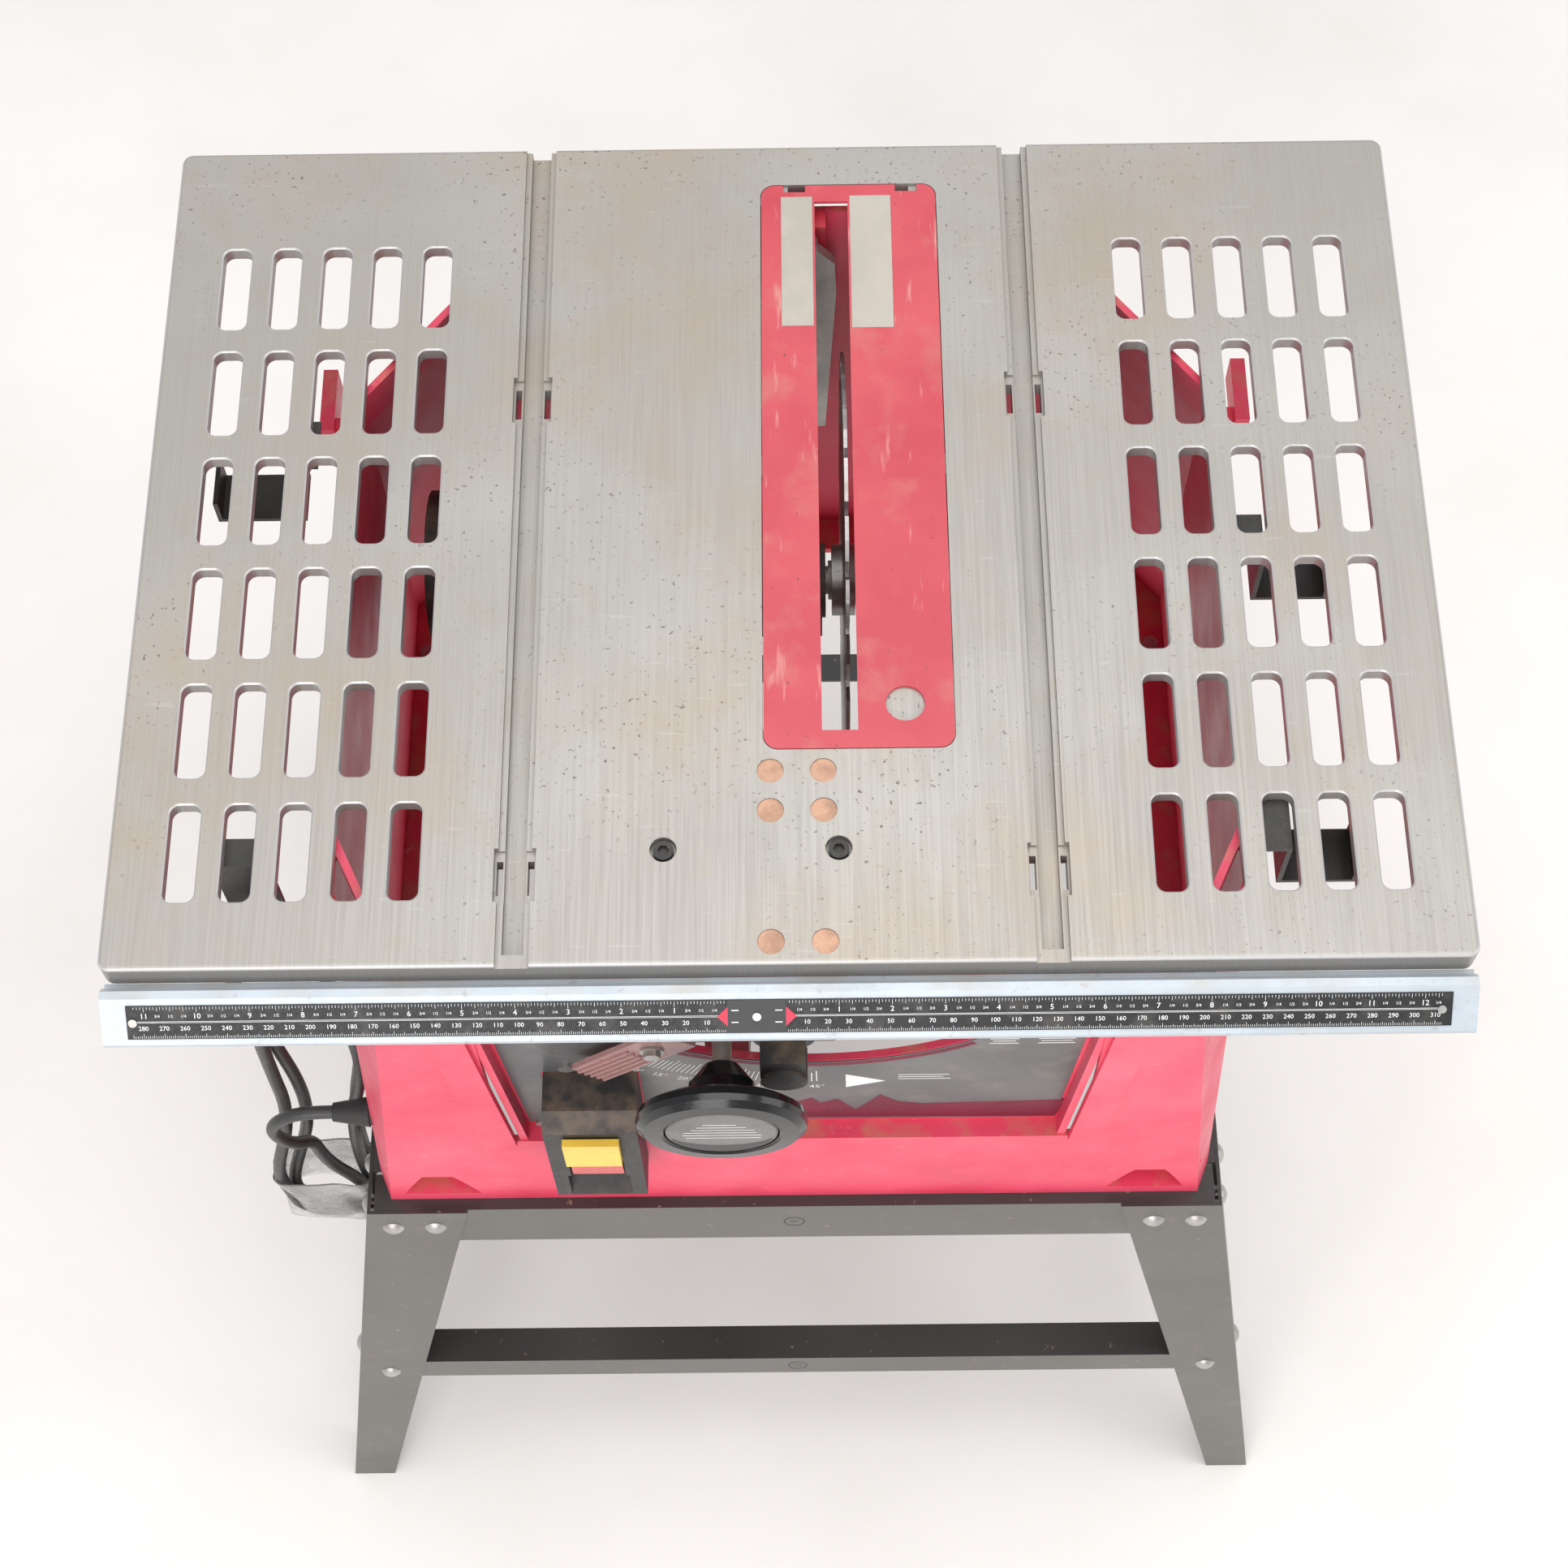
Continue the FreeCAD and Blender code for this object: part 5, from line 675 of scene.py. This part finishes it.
def maroon_band():
    """The jagged maroon band across the label's foot and the lip along the arc slot."""
    band = label_print(0.04)
    jag = ((-44, -215), (-30, -203), (-17, -196), (-8, -190), (0, -184), (5, -192), (14, -186), (24, -204),
           (37, -180), (47, -191), (60, -195), (139, -191), (134, -218))
    band.outline(*reversed(jag))
    for index in range(44):
        first, last = index * LIP_STEP, (index + 1) * LIP_STEP
        band.outline(on_arc(LIP_INNER, first), on_arc(LIP_OUTER, first),
                     on_arc(LIP_OUTER, last), on_arc(LIP_INNER, last))
    band.finish("maroon_band", MAROON_INK, "label_grey")


# painted reflection: the disc's grey stands in for light reflected off the dark label in the dish
DIAL_REFLECTED_GREY = dusted(plain_finish("dial_reflected_grey", (0.17, 0.165, 0.155), 0.4, mottle=0.25, pits=0.00003, size=60),
                   (0.30, 0.24, 0.18), share=0.5)
WHEEL_X, WHEEL_Z = -35.0, -116.54
DIAL_FACE = -45.4
DIAL_BANDS = ((27.5, DIAL_FACE), (28.6, DIAL_FACE + 0.5), (28.9, DIAL_FACE + 1.6))
SHADOW_RADIUS = 27.2


def dial_disc():
    """The disc in the wheel's dish, with a rounded edge; its grey is a painted reflection of light on the
    label, with dust.
    """
    around = 64
    corners = []
    for radius, depth in DIAL_BANDS:
        for step in range(around):
            angle = 2 * math.pi * step / around
            corners.append(at(WHEEL_X + radius * math.cos(angle), depth, WHEEL_Z + radius * math.sin(angle)))
    corners.append(at(WHEEL_X, DIAL_FACE, WHEEL_Z))
    hub = len(corners) - 1
    faces = [(hub, step, (step + 1) % around) for step in range(around)]
    for ring in range(len(DIAL_BANDS) - 1):
        for step in range(around):
            after = (step + 1) % around
            faces.append((ring * around + step, (ring + 1) * around + step,
                          (ring + 1) * around + after, ring * around + after))
    dress(mesh_piece("wheel_dial", corners, faces, True), DIAL_REFLECTED_GREY, "wheel")


def dial_print(lift):
    """A print on the disc's face."""
    return Print(at(WHEEL_X, DIAL_FACE, WHEEL_Z), Vector((1, 0, 0)), Vector((0, 0, 1)), lift)


def dial_grime():
    """A dark crescent of painted shadow along the disc's foot, where the dish's lower rim shades it."""
    # painted shadow: a black crescent where the dish's lower rim shades the disc
    shadow_marks = dial_print(0.03)
    outer = [(SHADOW_RADIUS * math.cos(math.radians(angle)), SHADOW_RADIUS * math.sin(math.radians(angle)))
             for angle in range(200, 341, 5)]
    inner = [(across, along * 0.62 - 0.6) for across, along in reversed(outer)]
    for index in range(len(outer) - 1):
        last = len(outer) - 1 - index
        shadow_marks.outline(outer[index], outer[index + 1], inner[last - 1], inner[last])
    shadow_marks.finish("dial_grime", BLOCK_INK, "black_gloss", "wheel")


def dial_lines():
    """Rows of plain lines for the disc's wording."""
    lines = dial_print(0.05)
    for row, wide in enumerate((17, 25, 32, 37, 40, 38)):
        lines.bar(0.8 * (row % 3 - 1), 13.5 - row * 3.9, wide, 0.75)
    lines.finish("dial_lines", WHITE_INK, "black_gloss", "wheel")


MARK_INNER, MARK_OUTER = 5.6, 6.3
MARK_SIDES = 24
# how far the stand's front leans to the back for each metre up
STAND_LEAN = 0.1064


def part_mark(name, middle, right, up):
    """A stamped ring with a short bar in it, as a plain part mark."""
    mark = Print(middle, right, up, 0.08)
    for step in range(MARK_SIDES):
        first, last = 2 * math.pi * step / MARK_SIDES, 2 * math.pi * (step + 1) / MARK_SIDES
        corners = ((MARK_INNER, first), (MARK_OUTER, first), (MARK_OUTER, last), (MARK_INNER, last))
        mark.outline(*((radius * math.cos(angle), radius * math.sin(angle)) for radius, angle in corners))
    mark.bar(0, 0, 5, 0.8)
    mark.finish(name, BLOCK_INK, "stand_paint")


def part_marks():
    """One mark in the middle of the front top rail and one on the lower brace."""
    up = Vector((0, STAND_LEAN, 1)).normalized()
    for name, node, drop in (("rail_mark", "top_rail_front", 0.022),
                             ("brace_mark", "lower_brace_front", 0.013)):
        low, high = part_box(node)
        middle = Vector((0, low[1] + STAND_LEAN * (high[2] - drop - low[2]), high[2] - drop))
        part_mark(name, middle, Vector((1, 0, 0)), up)


rule_marks()
rule_centre()
part_marks()
bevel_marks()
maroon_band()
dial_disc()
dial_grime()
dial_lines()


# ---------------------------------------------------------------- floor and light

FLOOR_HALF = 9
FLOOR_DROP = 0.0005


def lay_floor():
    """A plain pale floor, just under the feet."""
    corners = [(x * FLOOR_HALF, y * FLOOR_HALF, -FLOOR_DROP) for x, y in ((-1, -1), (1, -1), (1, 1), (-1, 1))]
    floor = mesh_piece("floor", corners, [(0, 1, 2, 3)])
    surface = Finish("floor", (0.83, 0.805, 0.77), 0.7)
    surface.layer((0.76, 0.735, 0.69), surface.between(surface.noise(3, 6), 0.42, 0.68, 0, 0.7))
    surface.bump(surface.noise(40, 4), 0.0004)
    floor.data.materials.append(surface.material)


def hang_lamp(name, place, target, size, watts):
    """A square soft light that faces a target."""
    lamp = bpy.data.lights.new(name, "AREA")
    lamp.size = size
    lamp.energy = watts
    thing = bpy.data.objects.new(name, lamp)
    thing.location = place
    thing.rotation_euler = (Vector(target) - Vector(place)).to_track_quat("-Z", "Y").to_euler()
    scene.collection.objects.link(thing)


def light_scene():
    """Soft light from above with a fill from the front, and a pale sky."""
    hang_lamp("above", (0.2, -0.2, 3.6), (0, 0, 0.4), 3.2, 84)
    hang_lamp("front", (-0.8, -3.2, 2.0), (0, 0, 0.5), 2.4, 70)
    hang_lamp("right", (3.2, -0.6, 1.8), (0, 0, 0.5), 2.0, 26)
    world = bpy.data.worlds.new("sky")
    world.use_nodes = True
    world.node_tree.nodes["Background"].inputs["Color"].default_value = (0.95, 0.96, 1.0, 1)
    world.node_tree.nodes["Background"].inputs["Strength"].default_value = 0.62
    scene.world = world


lay_floor()
light_scene()
